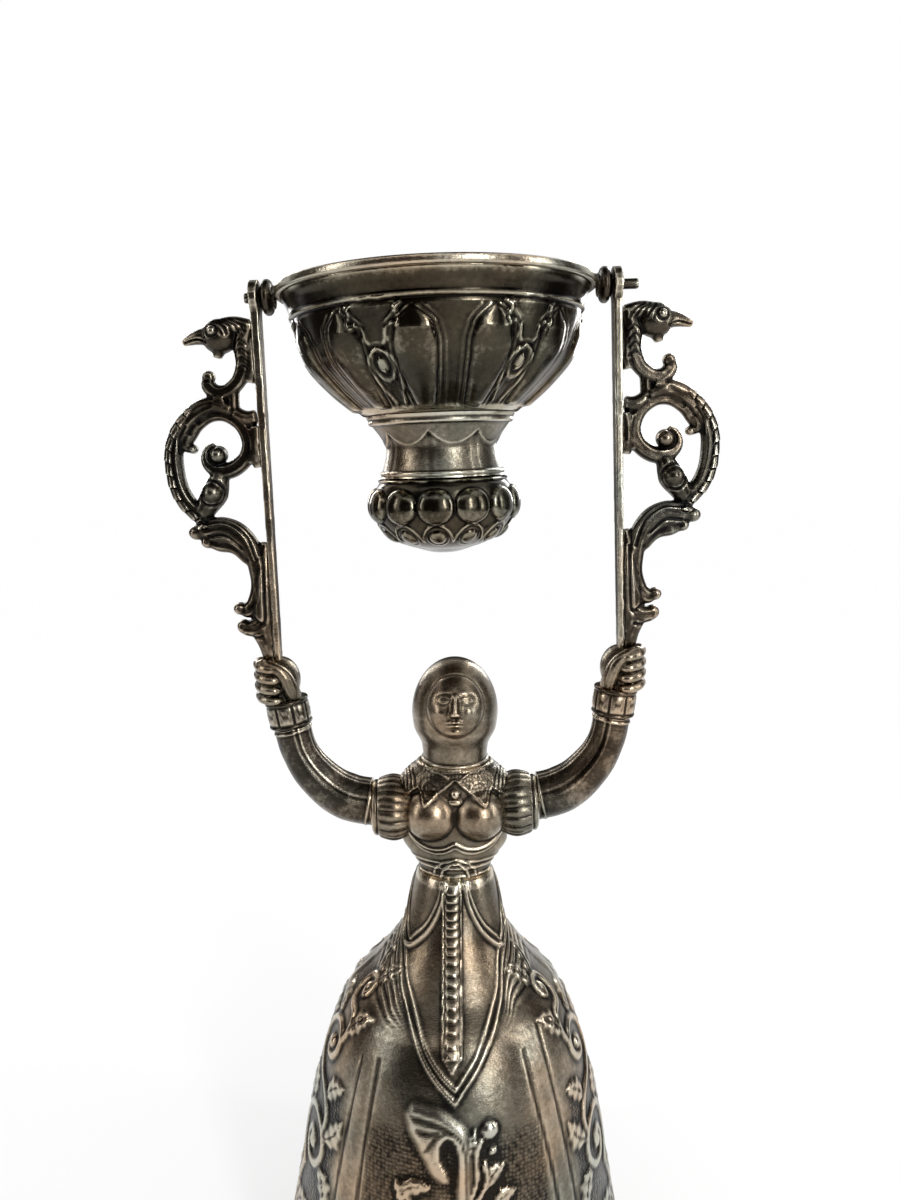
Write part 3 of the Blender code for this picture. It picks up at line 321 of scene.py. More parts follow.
def add_node(tree, kind, inputs=(), **settings):
    """Adds a node; an input gets a number, or a link where its value is another node's socket."""
    made = tree.nodes.new(kind)
    for key, value in settings.items():
        setattr(made, key, value)
    for key, value in inputs:
        if isinstance(value, bpy.types.NodeSocket):
            tree.links.new(value, made.inputs[key])
        else:
            made.inputs[key].default_value = value
    return made


def with_nodes(block):
    """A material's or world's node tree, switched on."""
    block.use_nodes = True
    return block.node_tree


def silver(name, hollow, middle, proud, roughness, cloud=0.5, grain_bump=0.17, reach=(0.12, 0.5, 0.86)):
    """A tarnished silver; the three colours belong to low, middle and high places."""
    finish = bpy.data.materials.new(name)
    tree = with_nodes(finish)
    shader = tree.nodes["Principled BSDF"]
    shader.inputs["Metallic"].default_value = 1.0

    def sums(operation, first, second, third=0.0):
        inputs = [(0, first), (1, second), (2, third)]
        return add_node(tree, "ShaderNodeMath", inputs, operation=operation).outputs[0]

    def noise(place, scale, detail, roughness=0.5):
        inputs = [("Vector", place), ("Scale", scale), ("Detail", detail), ("Roughness", roughness)]
        return add_node(tree, "ShaderNodeTexNoise", inputs).outputs["Fac"]

    place = add_node(tree, "ShaderNodeTexCoord").outputs["Object"]
    tilted = add_node(tree, "ShaderNodeMapping", [("Vector", place), ("Rotation", (0.5, 0.9, 0.3)),
                                                  ("Scale", (1.0, 9.0, 9.0))]).outputs["Vector"]
    wear = add_node(tree, "ShaderNodeAttribute", attribute_name="wear").outputs["Fac"]
    matted = add_node(tree, "ShaderNodeAttribute", attribute_name="matted").outputs["Fac"]
    clouds = noise(place, 110.0, 5.0, 0.62)
    specks = noise(place, 900.0, 4.0, 0.7)
    scratches = noise(tilted, 520.0, 3.0, 0.6)
    patches = noise(place, 38.0, 3.0)
    dents = noise(place, 300.0, 2.0)
    dots = [("Vector", place), ("Scale", 1250.0), ("Randomness", 0.45)]
    dots = add_node(tree, "ShaderNodeTexVoronoi", dots).outputs["Distance"]
    punched = sums("MULTIPLY", matted, dots)

    # How bright each place is: the wear, moved by clouds, specks and patches
    level = sums("MULTIPLY_ADD", wear, 0.8, sums("MULTIPLY", punched, -0.5))
    for pattern, amount in ((clouds, cloud), (specks, 0.42), (patches, 0.3)):
        level = sums("MULTIPLY_ADD", pattern, amount, level)
    level = sums("SUBTRACT", level, cloud / 2 + 0.26)
    ramp = add_node(tree, "ShaderNodeValToRGB", [("Fac", level)])
    stops = ramp.color_ramp.elements
    stops[0].position, stops[0].color = reach[0], (*hollow, 1)
    stops[1].position, stops[1].color = reach[2], (*proud, 1)
    stops.new(reach[1]).color = (*middle, 1)

    # Some patches are cooler and some warmer
    warmth = add_node(tree, "ShaderNodeValToRGB", [("Fac", patches)])
    stops = warmth.color_ramp.elements
    stops[0].position, stops[0].color = 0.36, (0.86, 0.96, 0.97, 1)
    stops[1].position, stops[1].color = 0.64, (1.0, 0.83, 0.68, 1)
    tint = add_node(tree, "ShaderNodeMix", [("Factor", 1.0), (6, ramp.outputs["Color"]),
                                            (7, warmth.outputs["Color"])],
                    data_type="RGBA", blend_type="MULTIPLY")
    tree.links.new(tint.outputs[2], shader.inputs["Base Color"])

    # High places are smoother, scratches and clouds rougher
    rough = sums("MULTIPLY_ADD", scratches, 0.22, roughness - 0.11)
    rough = sums("MULTIPLY_ADD", clouds, 0.16, rough)
    rough = sums("MULTIPLY_ADD", level, -0.16, rough)
    tree.links.new(rough, shader.inputs["Roughness"])

    # Scratches, dents and the dots of the punch
    marks = sums("MULTIPLY_ADD", scratches, 0.45, specks)
    marks = sums("MULTIPLY_ADD", dents, 1.3, marks)
    marks = sums("ADD", marks, sums("MULTIPLY", punched, -4.0))
    bump = add_node(tree, "ShaderNodeBump",
                    [("Strength", grain_bump), ("Distance", 0.0004), ("Height", marks)])
    tree.links.new(bump.outputs["Normal"], shader.inputs["Normal"])
    return finish


SHEEN, SHEEN_DARK = (0.57, 0.52, 0.44), (0.49, 0.445, 0.38)
DARK_REACH = (0.14, 0.54, 0.95)
bright_silver = silver("polished silver", (0.026, 0.023, 0.020), (0.19, 0.166, 0.13), SHEEN, 0.22)
worn_silver = silver("worn silver", (0.020, 0.018, 0.016), (0.175, 0.153, 0.122), SHEEN, 0.25)
dark_silver = silver("oxidised silver", (0.010, 0.009, 0.009), (0.072, 0.062, 0.049), SHEEN_DARK, 0.24,
                     reach=DARK_REACH)
cup_silver = silver("tarnished cup silver", (0.010, 0.008, 0.007), (0.066, 0.056, 0.041),
                    (0.50, 0.45, 0.36), 0.15, grain_bump=0.09, reach=DARK_REACH)
sleeve_silver = silver("streaked silver", (0.009, 0.008, 0.007), (0.064, 0.054, 0.043),
                       (0.50, 0.45, 0.38), 0.28, cloud=1.0, grain_bump=0.25, reach=(0.2, 0.54, 0.95))
for finish in (bright_silver, worn_silver, dark_silver, cup_silver, sleeve_silver):
    print("finish", finish.name)

# %% [markdown]
# ### Handing a piece over
# A finished piece gets its name and smooth shading that keeps real corners, and its wear is recorded
# last, when its shape is final. It then rides on a body and stands in for the plain node of the model.

# %% Finish a piece


def hand_over(piece, node, finish, slot, body="figure", sharp=60, rounds=10, depth=0.1):
    """Names the piece, records its wear, gives it its finish and lets it stand for its CAD node."""
    piece.name = piece.data.name = node + "_dressed"
    piece.data.materials.clear()
    piece.data.materials.append(finish)
    alone(piece)
    bpy.ops.object.shade_smooth_by_angle(angle=math.radians(sharp))
    record_wear(piece, rounds, depth)
    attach(piece, body)
    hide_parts(node)
    print(piece.name, len(piece.data.polygons), "faces")


print("pieces can be handed over")

# %% [markdown]
# ## The raised group
# Hands, brackets and small cup lean together by two degrees about a point in the chest, because the
# old solder has given way a little. They are modelled upright and then leaned as one, so that each
# outline stays simple.

# %% Lean the raised pieces
CHEST = 124.2
PIVOT = 110.6  # above the chest
LEAN = math.radians(2.1)
RAISED = Matrix.Translation((0, 0, CHEST * MM)) @ Matrix.Rotation(-LEAN, 4, "Y")
CUP = RAISED @ Matrix.Translation((0, 0, PIVOT * MM))


def set_place(piece, matrix):
    """Puts a piece in place and writes the place into its mesh."""
    piece.matrix_world = matrix
    alone(piece)
    bpy.ops.object.transform_apply(location=True, rotation=True, scale=True)
    return piece


def mirrored(piece):
    """A copy with its own mesh on the other side of the middle plane."""
    alone(piece)
    bpy.ops.object.duplicate()
    twin = bpy.context.object
    twin.data.transform(Matrix.Diagonal((-1, 1, 1, 1)))
    edit_all(twin)
    bpy.ops.mesh.flip_normals()
    bpy.ops.object.mode_set(mode="OBJECT")
    return twin


def hand_over_pair(piece, node, finish, slot, **wear):
    """The right piece and its mirror image, each standing for its own node."""
    for side, half in (("left", mirrored(piece)), ("right", piece)):
        set_place(half, RAISED)
        hand_over(half, side + "_" + node, finish, slot, **wear)


print("the raised group leans by", round(math.degrees(LEAN), 1), "degrees")

# %% [markdown]
# ## The skirt cup
# The large cup is raised from one sheet and chased as a bell skirt: a pointed apron edge with a
# doubled border, two hip tabs, fan pleats at the hips, a strip of buttons in front and leaf scrolls
# below. One spun shell carries all of it as relief, because the real one is one sheet too.

# %% The skirt's outline
WAIST = 107.7
WALL = 0.9
SKIRT = [(3.3, 42.4), (31.8, 37.1), (64.1, 30.75), (78.3, 24.9), (85.2, 18.4), (95.3, 11.7), (WAIST, 7.9)]


def skirt_radius(height):
    """The outer face at a height."""
    return flow(SKIRT, height)


def skirt_inside(height):
    """The inner face, one wall further in along the slope."""
    slope = skirt_radius(height + 0.5) - skirt_radius(height - 0.5)
    return skirt_radius(height) - WALL * np.hypot(1, slope)


HEM_TOP, HEM_RADIUS = 8.3, 42.9
outside = rows(WAIST, 72, 108) + rows(72, 52, 42)[1:] + rows(52, HEM_TOP + 0.3, 80)[1:]
inside = rows(3.3, 60, 6) + rows(66, 105.9, 12)
skirt_outline = [(0.0, WAIST)] + profile(SKIRT, outside)
skirt_outline += [(float(skirt_radius(HEM_TOP)) + 0.4, HEM_TOP)]
skirt_outline += [(HEM_RADIUS, z) for z in (6.6, 5.2, 3.3)]
skirt_outline += [(float(skirt_inside(z)), z) for z in inside] + [(0.0, 106.1)]
skirt = spin_shell("skirt", skirt_outline, 384)
print("skirt", len(skirt.data.vertices), "points")

# %% [markdown]
# ### Chasing the upper skirt
# The apron ends in a point in front and its edge is doubled by two lines. Pleats fan out from it at
# the hips, a tab lies over each hip, and overlapping scales run down the middle like buttons. A place
# is given in degrees from the front and millimetres down from the waist, as one would mark the sheet.

# %% Chase the upper skirt
p, angle, radius, z = round_axis(skirt)
drop = WAIST - z
outer_face = (radius > skirt_radius(z) - 0.3) & (drop < 99) & (radius > 0.5)
around = np.radians(angle) * radius


def on_skirt(stations):
    """Turns (degrees, drop) stations into (distance round the skirt, drop)."""
    return [(math.radians(a) * float(skirt_radius(WAIST - d)), d) for a, d in stations]


EDGE_LEFT = [(-180, 14.5), (-140, 13.5), (-110, 11.8), (-86, 11.5), (-55, 17.6), (-41, 21.5), (-30, 24.5),
             (-21, 27.7), (-14, 31.4), (-7, 34.8), (0, 37.6)]
EDGE_RIGHT = [(4, 35.2), (10, 32.1), (17, 28.3), (26, 24.9), (33, 22.4), (48, 16.9), (86, 11.5),
              (110, 11.8), (140, 13.5), (180, 14.5)]
apron_edge = smooth_line(EDGE_LEFT + EDGE_RIGHT, 8)
edge_drop = np.interp(angle, apron_edge[:, 0], apron_edge[:, 1])
relief = 0.35 * soft_step((edge_drop - drop) / 0.6 + 0.5)
for inset, width, height in ((0.0, 0.6, 0.28), (2.4, 0.5, 0.25), (1.2, 0.6, -0.12)):
    for part in (EDGE_LEFT, [(0, 37.6)] + EDGE_RIGHT):
        relief += chase(around, drop, on_skirt([(a, d - inset) for a, d in part]), width, height)
away = np.abs(angle)
pitch = 0.3 + 1.6 * soft_step((away - 14) / 50)
pleat = (drop - edge_drop - 0.4) / pitch
fan = soft_step(pleat / 0.3) * soft_step((5.6 - pleat) / 3)
fan *= soft_step((pitch - 0.35) / 1.3)
fan *= soft_step((100 - away) / 12)
relief += fan * 0.5 * (np.abs(np.sin(math.pi * pleat)) ** 0.8 - 0.4)
for i in range(24):
    a = 97 + 166 * i / 23
    a = a if a < 180 else a - 360
    fold = on_skirt([(a, 16.5), (a, 21.0), (a, 26.5 + 3 * (i % 2))])
    relief += chase(around, drop, fold, 1.1, 0.3)
TAB = [(13, -1.0), (18, 4.5), (30, 10.0), (44, 13.6), (55, 14.6), (66, 12.6), (75, 9.5), (90, 5.2),
       (104, 2.0)]
for side in (-1, 1):
    tab = on_skirt([(side * a, d) for a, d in TAB])
    inner_tab = on_skirt([(side * (a + 4 if a < 50 else a - 3), d - 1.5) for a, d in TAB])
    relief += panel(around, drop, tab + [(side * 14, -3), (side * 2, -3)], 0.3, 0.3)
    relief += chase(around, drop, tab, 0.6, 0.5) + chase(around, drop, inner_tab, 0.45, 0.28)
STRIP_LEFT, STRIP_RIGHT, STRIP_MIDDLE = -2.6, 1.3, -0.65
strip = [(STRIP_LEFT, -2), (STRIP_LEFT, 30.0), (STRIP_MIDDLE, 32.7), (STRIP_RIGHT, 30.0), (STRIP_RIGHT, -2)]
relief += panel(around, drop, strip, 0.3, 0.2, steps=1)
for edge in (STRIP_LEFT, STRIP_RIGHT):
    relief += chase(around, drop, [(edge, 2), (edge, 16), (edge, 30.0)], 0.32, 0.25, 1)
BUTTON = 1.76
for i in range(17):
    middle = 1.2 + BUTTON * i
    scale_share = np.clip((drop - middle + 0.9) / BUTTON, 0, 1)
    button_half = 1.5 * np.sqrt(np.clip(1 - (scale_share - 0.35) ** 2, 0, 1))
    across = np.abs(around - STRIP_MIDDLE) / button_half
    here = (drop > middle - 0.9) & (drop < middle + 0.86)
    relief += here * 0.62 * np.sqrt(np.clip(1 - across ** 2, 0, 1)) * (0.35 + 0.65 * scale_share)
print("apron, pleats, tabs and buttons chased")

# %% [markdown]
# ### Leaves on the skirt
# The lower skirt is chased with scrolling plants between plain ribs. One leaf is a pointed oval with
# a lobed edge and a sunk vein, given by its root and its tip; stems are raised lines that end in
# spirals. The ground round them is marked as matted, and the finish puts small punched dots there.

# %% Leaves, spirals and plants
LEAF_HEIGHT, LOBES = 0.5, 4


def leaf(u, v, root, tip, width, curl):
    """A leaf from root to tip; curl bends it sideways, in millimetres."""
    (u0, v0), (u1, v1) = root, tip
    long = math.hypot(u1 - u0, v1 - v0)
    near = (np.abs(u - u0) < long + width) & (np.abs(v - v0) < long + width)
    along = ((u[near] - u0) * (u1 - u0) + (v[near] - v0) * (v1 - v0)) / long ** 2
    aside = ((u[near] - u0) * (v1 - v0) - (v[near] - v0) * (u1 - u0)) / long
    aside = aside - curl * np.sin(math.pi * np.clip(along, 0, 1))
    lobed = 1 + 0.14 * np.cos(math.tau * LOBES * along)
    half = width * np.sin(math.pi * np.clip(along, 0, 1) ** 0.9) ** 1.1 * lobed
    share = np.abs(aside) / np.maximum(half, 1e-3)
    dome = np.clip(1 - share ** 2, 0, 1) ** 0.75 * ((along > 0) & (along < 1))
    vein = 0.5 * np.clip(1 - np.abs(aside) / 0.4, 0, 1)
    ribs = 0.15 * np.cos(math.tau * (LOBES * along - 0.5 * np.abs(aside) / width))
    lift = np.zeros(len(u))
    lift[near] = LEAF_HEIGHT * dome * np.clip(1 - vein + ribs, 0, 2)
    return lift


def spiral(centre, size, start, turns, way=1):
    """Points of a spiral that winds in from its size; start in degrees, way 1 or -1."""
    steps = int(12 * turns)
    winding = [(size * (1 - 0.85 * k / steps), math.radians(start) + way * math.tau * turns * k / steps)
               for k in range(steps + 1)]
    return [(centre[0] + r * math.cos(a), centre[1] + r * math.sin(a)) for r, a in winding]


def plant(u, v, stems, leaves, berries):
    """The highest of all stems, leaves and berries at each place."""
    lift = np.zeros(len(u))
    for line, width in stems:
        lift = np.maximum(lift, chase(u, v, line, width, 0.6, 3))
    for u0, v0, u1, v1, width, curl in leaves:
        lift = np.maximum(lift, leaf(u, v, (u0, v0), (u1, v1), width, curl))
    for u0, v0, size in berries:
        lift = np.maximum(lift, boss(u, v, (u0, v0), (size, size), 0.85, 0.6))
    return lift


SIDE_STEMS = [([(-3, 96), (-6, 86), (-6.5, 78), (-4.0, 71)] + spiral((0.5, 62.5), 9, 118, 1.5), 1.3),
              ([(4.9, 58.1), (5.4, 54), (2.5, 50), (-3, 47)] + spiral((-1.0, 40.5), 6.4, 108, 1.3), 1.15),
              ([(2.4, 39.2), (3.6, 35.5), (2.6, 32.4)] + spiral((0.5, 28), 3.6, 90, 1.1), 0.95)]
SIDE_LEAVES = [(-5.4, 82, -11, 72.5, 2.8, -1.4), (-6, 85, 3, 76.5, 3.0, 1.6), (5.2, 64.5, 10.5, 73, 2.7, 1.4),
               (-7.4, 61.5, -12.5, 52.5, 2.6, -1.4), (5.3, 59, 11.5, 51, 2.7, -1.4),
               (-3.2, 56.4, -9.5, 49.5, 2.6, -1.0), (3.4, 51, 10, 45, 2.4, 1.2),
               (-6.4, 41.5, -11.5, 34.5, 2.3, -1.0), (3.4, 36.4, 9, 30.5, 2.2, 1.0),
               (-3.2, 36.4, -8.5, 30, 2.1, -1.0), (0.5, 26, -0.5, 18, 1.9, 0.8), (1.9, 27, 7, 21, 1.8, 0.8)]
SIDE_BERRIES = [(0.7, 62.5, 1.9), (-1.0, 40.5, 1.5), (0.5, 28.0, 1.1)]
from_back = np.where(around < 0, around + math.tau * radius, around) - math.pi * radius
plants = plant(from_back, drop, SIDE_STEMS, SIDE_LEAVES, SIDE_BERRIES)
for centre, flip in ((-70, 1), (70, -1), (-124, -1), (124, 1)):
    local = (around - math.radians(centre) * radius) * flip
    plants = np.maximum(plants, plant(local, drop + 3, SIDE_STEMS, SIDE_LEAVES, SIDE_BERRIES))
BIG_LEAF = [(-10.0, 40.6), (-8.4, 38.4), (-5.6, 38.6), (-3.1, 39.0), (-0.6, 40.5), (1.7, 42.4), (3.0, 45.4),
            (3.3, 50), (3.2, 56), (1.4, 60), (0.7, 54), (0.9, 47.4), (0.0, 44.6), (-1.6, 43.7), (-3.2, 44.8),
            (-3.6, 47.4), (-2.9, 49.6), (-2.0, 51.9), (-4.4, 50.9), (-6.2, 48.2), (-7.7, 45.7), (-9.4, 43.2)]
front_plant = panel(around, drop, BIG_LEAF, 0.55, 1.3, 4)
for line in ([(-9.0, 40.6), (-5, 41.2), (-1.4, 42.4), (1.2, 45.0), (2.2, 49.0), (2.2, 56)],
             [(-8.0, 43.0), (-5.8, 43.2), (-3.6, 43.0)], [(-6.2, 46.6), (-5.2, 45.4), (-4.2, 44.0)]):
    front_plant -= chase(around, drop, line, 0.6, 0.16)
rim_line = [(-2.4, 50.8), (-3.4, 49.2), (-4.0, 47.2), (-3.4, 44.6), (-1.6, 43.3), (0.2, 44.2),
            (1.2, 47.0), (1.2, 53)]
front_plant = np.maximum(front_plant, chase(around, drop, rim_line, 0.9, 0.7))
front_plant = np.maximum(front_plant, plant(around, drop, [
    ([(3.0, 56), (4.4, 52), (4.2, 47.6), (5.2, 44.6)], 0.7), ([(4.6, 56), (6.4, 52.4), (6.0, 49)], 0.7),
    ([(2.4, 58), (6, 62), (11, 63)] + spiral((11, 69), 6, -90, 1.3), 1.0),
    ([(1.6, 58), (-2, 62), (-7, 63)] + spiral((-8, 69), 6, -90, 1.3, -1), 1.0),
    ([(2, 60), (1.6, 68), (1.6, 78), (1.6, 92)], 0.9)],
    [(4.0, 48, 4.0, 42.2, 1.3, 0.6), (-12, 56, -4.5, 53.5, 1.8, 1.0), (-10, 60, -13, 53, 1.8, -0.8),
     (6.5, 54, 10.5, 49.5, 1.7, 1.0), (8, 58, 13, 55, 1.8, 0.8), (1.6, 76, -6.5, 82, 2.6, -1.6),
     (1.6, 76, 9.5, 82, 2.6, 1.6), (1.6, 84, -4.5, 93, 2.4, -1.4), (1.6, 84, 7.5, 93, 2.4, 1.4),
     (-13, 74, -13, 84, 2.3, -1.0), (16, 74, 16, 84, 2.3, 1.0)],
    [(7.1, 42.7, 1.8), (11, 69, 1.8), (-8, 69, 1.8), (7.6, 46.6, 0.9)]))
plants = np.maximum(plants, front_plant)
print("plants cover", int((plants > 0.05).sum()), "points")

# %% [markdown]
# ### Ribs, ground and the finished skirt
# Plain ribs part the plants. Where no plant lies, the ground is marked for the matting punch. Under a
# plant the relief beneath it is flattened, so that the leaves look laid on.

# %% Ribs and matted ground
RIBS = [[(-47, 34), (-48, 63), (-50, 98)], [(-37, 33), (-37, 59), (-38, 98)],
        [(34, 31), (39, 61), (40, 98)], [(48, 28), (48, 63), (49, 98)]]
RIBS += [[(a, 30), (a, 60), (a, 98)] for a in (98, -98, 150, -150)]
for rib in RIBS:
    relief += chase(around, drop, on_skirt(rib), 0.55, -0.18)
beside = soft_step((36 - away) / 2) + soft_step((away - 51) / 2)
matting = soft_step((drop - 41) / 6) * soft_step((97 - drop) / 1.5) * np.clip(beside, 0, 1)
matting *= soft_step((0.12 - plants) / 0.1)
mark(skirt, "matted", matting * outer_face)
covered = np.clip(plants / 0.2, 0, 1)
relief = relief * (1 - 0.7 * covered) + plants
relief[~outer_face] = 0
push_out(skirt, relief)
print("skirt relief up to", round(float(relief.max()), 2), "mm")
hand_over(skirt, "skirt_cup", worn_silver, "worn_silver")
rub_clean(skirt, ~outer_face & (radius < 42))

# %% [markdown]
# ## The foot ring
# A plain wire is soldered under the hem so that the cup stands firm. It is a spun ring with a
# rounded outer side and a flat inner one.

# %% The foot ring
WIRE = 1.5
ring_outline = [(40.6, 3.0), (42.2, 3.0)]
ring_outline += [(42.48 + WIRE * math.cos(a), WIRE + WIRE * math.sin(a))
                 for a in rows(math.pi / 2, -math.pi / 2, 16)]
ring_outline += [(40.6, 0.0), (40.4, 0.3), (40.4, 2.7), (40.6, 3.0)]
ring = spin_shell("foot", ring_outline, 240)
hand_over(ring, "foot_ring", bright_silver, "polished_silver", sharp=50)

# %% [markdown]
# ## The bodice
# The upper body is cast and chased: a tight waist with a sash, a rounded bust and a wide lace
# collar whose points lie on the shoulders. It starts as a spun shell that is pressed flatter from
# front to back, and the bust is drawn forward from it.

# %% The bodice shell
BODICE_FOOT, BODICE_TOP = 108.0, 133.6
WIDTHS = [(BODICE_FOOT, 7.9), (109.56, 8.06), (115.8, 12.03), (CHEST, 12.4), (129.2, 12.0), (131.8, 10.0),
          (BODICE_TOP, 7.0)]
DEPTHS = [(BODICE_FOOT, 6.95), (CHEST, 7.8), (BODICE_TOP, 6.44)]
bodice_outline = [(0.0, BODICE_TOP), (6.8, BODICE_TOP)]
bodice_outline += profile(WIDTHS, rows(133.5, 131.3, 24) + rows(131.1, BODICE_FOOT, 110))
bodice_outline += [(7.8, BODICE_FOOT), (0.0, BODICE_FOOT)]
bodice = spin_shell("bodice_shell", bodice_outline, 300)
p = points_of(bodice)
p[:, 1] *= flow(DEPTHS, p[:, 2]) / flow(WIDTHS, p[:, 2])
BUST_RADIUS = 6.05
for side in (-1, 1):
    off = np.hypot(p[:, 0] - side * 5.25, p[:, 2] - 122.9)
    dome = 4.3 + np.sqrt(np.clip(BUST_RADIUS ** 2 - off ** 2, 0, None))
    dome -= 4 * np.clip(off - BUST_RADIUS, 0, None)
    depth = -p[:, 1]
    joined = (depth + dome + np.sqrt((depth - dome) ** 2 + 0.2)) / 2
    p[:, 1] = np.where((p[:, 1] < 0) & (off < 8), -joined, p[:, 1])
p[:, 0] = np.clip(p[:, 0], -11.85, 11.85)
put_points(bodice, p)
print("bodice", len(bodice.data.vertices), "points")

# %% [markdown]
# ### Chasing the bodice
# Three bands close the waist. Over the bust lies the lace collar, made of two pointed lappets with
# curls; two swags and an arch drape the front, and two small bosses are its brooch. The left side is
# the right one mirrored, and what lies in front only is multiplied by a mask.

# %% Chase the bodice
p = points_of(bodice)
x, z = p[:, 0], p[:, 2]
front = p[:, 1] < 0
wall_side = (z > 108.02) & (z < 133.55) & (np.hypot(p[:, 0], p[:, 1]) > 3)
relief = np.zeros(len(p))
for height, width, rise in ((109.0, 0.5, 0.3), (111.0, 0.6, 0.35), (112.4, 0.5, 0.25)):
    relief += ridge(z, height, width, rise, 1.5)
COLLAR = [(0.0, 131.4), (2.3, 129.4), (4.6, 127.6), (6.6, 126.3), (7.2, 127.6), (7.9, 129.4), (9.6, 127.9),
          (11.0, 127.3), (13.5, 127.9), (13.5, 136.0), (0.0, 136.0)]
CURL = (5.0, 129.3)
SIDE_LINES = [([(1.5, 131.8), (2.9, 132.6), (5, 132.7)], 0.3, 0.2)]
SIDE_LINES += [([(a + 0.5, 132.0), (a, 130.6), (a - 0.1, 129.0)], 0.26, -0.22)
               for a in (8.6, 9.5, 10.4, 11.3)]
WAIST_ARCH = [(0.1, 112.2), (1.5, 111.6), (2.7, 110.0), (3.1, 108.2)]
FRONT_LINES = [([(11.6, 128.0), (11.4, 123), (10.6, 118.7)], 0.4, -0.25), (WAIST_ARCH, 0.5, 0.45),
               ([(a * 1.5, b + 0.9) for a, b in WAIST_ARCH], 0.4, 0.3)]
for low, rise, width in ((0, 0.3, 0.5), (1.1, 0.16, 0.35)):
    swag = [(0.2, 116.9 - low), (2.6, 115.7 - low), (5.4, 115.5 - low * 0.9), (8.4, 116.7 - low * 0.7),
            (10.9, 119.4 - low * 0.4)]
    FRONT_LINES.append((swag, width, rise))
lappets = np.zeros(len(p))
for side in (-1, 1):
    out = side * x
    lappets = np.maximum(lappets, panel(out, z, COLLAR, 0.5, 0.18, steps=2))
    relief += chase(out, z, COLLAR[:9], 0.36, 0.4, steps=2)
    oval = np.hypot((out - CURL[0]) / 2.0, (z - CURL[1]) / 1.75)
    curl = oval + 0.05 * np.arctan2(z - CURL[1], out - CURL[0])
    relief += ridge(curl, 0.95, 0.2, 0.1) + ridge(curl, 0.5, 0.2, 0.07)
    relief += chase_all(out, z, SIDE_LINES) + front * chase_all(out, z, FRONT_LINES)
relief += lappets
brooch = boss(x, z, (0, 128.3), (1.0, 1.0), 0.75, 0.5) + boss(x, z, (0, 126.6), (1.5, 0.75), 0.55, 0.5)
relief += front * brooch
relief += ridge(z, 133.1, 0.45, 0.3)
relief[~wall_side] = 0
mark(bodice, "matted", 0.5 * (lappets > 0.35) * wall_side)
push_out(bodice, relief)
hand_over(bodice, "bodice", worn_silver, "worn_silver")

# %% [markdown]
# ## The hooded head
# Head and hood are one casting. The face is a plain, calm one laid out by the usual thirds: brow,
# nose and chin at equal steps, and five eye widths across. It is modelled as a pressed oval with
# heights for each feature, then melted into the hood by a voxel remesh, as wax is before casting.

# %% The hood
HEAD = 9.55
HEAD_WIDEST, HOOD_FOOT = 145.0, 133.9
DOME = 12.3  # from the widest place to the top
HOOD = [(HOOD_FOOT, 7.0), (137.8, 7.4), (141.9, 9.17), (HEAD_WIDEST, HEAD)]
hood_outline = [(0.0, HEAD_WIDEST + DOME)]
hood_outline += [(HEAD * math.cos(a), HEAD_WIDEST + DOME * math.sin(a))
                 for a in rows(math.pi / 2, 0, 50)[1:]]
hood_outline += profile(HOOD, rows(144.8, 134.9, 44))
hood_outline += [(7.5, 134.7), (7.6, 134.4), (7.4, 134.1), (7.0, HOOD_FOOT), (0.0, HOOD_FOOT)]
hood = spin_shell("hood", hood_outline, 180)
TILT = Matrix.Rotation(-math.radians(15), 4, "X")
FACE_UP = 3.7
level = FACE_UP / DOME
FACE_CENTRE = Vector((0, -HEAD * math.sqrt(1 - level * level), HEAD_WIDEST + FACE_UP))
TO_FACE = (Matrix.Translation(FACE_CENTRE) @ TILT).inverted()


def face_frame(points):
    """Points as (across, back, up) from the middle of the face."""
    m = np.array(TO_FACE)
    return points @ m[:3, :3].T + m[:3, 3]


f = face_frame(points_of(hood))
oval = np.sqrt((f[:, 0] / 6.15) ** 2 + (f[:, 2] / 6.95) ** 2)
push_out(hood, np.where(f[:, 1] < 6, -soft_step((1.03 - oval) / 0.2), 0))
print("hood", len(hood.data.vertices), "points")

# %% [markdown]
# ### The face
# The face starts as a ball scaled to an oval. Brow, eyes, nose, mouth and chin are soft hills and
# hollows over it, worked out as heights like the chasing. A sculpted mesh would look richer, but a
# short list of hills is easy to read and to change, and it belongs to nobody in particular.

# %% The face
# Rise, distance from the middle, half width, height up the face, half height
HILLS = {
    "brow": (0.16, 2.1, 1.5, 2.45, 0.6),
    "socket": (-0.46, 2.1, 1.2, 1.1, 0.75),
    "nostril": (0.42, 0.78, 0.34, -1.65, 0.38),
    "groove over the lip": (-0.10, 0, 0.3, -2.6, 0.35),
    "cheek": (0.45, 2.9, 1.35, -1.3, 1.4),
    "round of the mouth": (0.32, 0, 1.9, -3.3, 0.9),
    "upper lip": (0.26, 0.45, 0.75, -3.02, 0.22),
    "lower lip": (0.30, 0, 0.95, -3.72, 0.28),
    "hollow under the lip": (-0.16, 0, 1.0, -4.3, 0.3),
    "chin": (0.55, 0, 1.35, -5.25, 0.75),
}
EYE_OUT, EYE_UP = 2.15, 1.1


def egg(place, radii, segments=28, rings=18):
    """An oval ball at (x, y, z) with three radii, in millimetres."""
    bpy.ops.object.select_all(action="DESELECT")
    bpy.ops.mesh.primitive_uv_sphere_add(segments=segments, ring_count=rings, radius=MM,
                                         location=Vector(place) * MM)
    form = bpy.context.object
    form.scale = radii
    bpy.ops.object.transform_apply(location=True, rotation=True, scale=True)
    return form


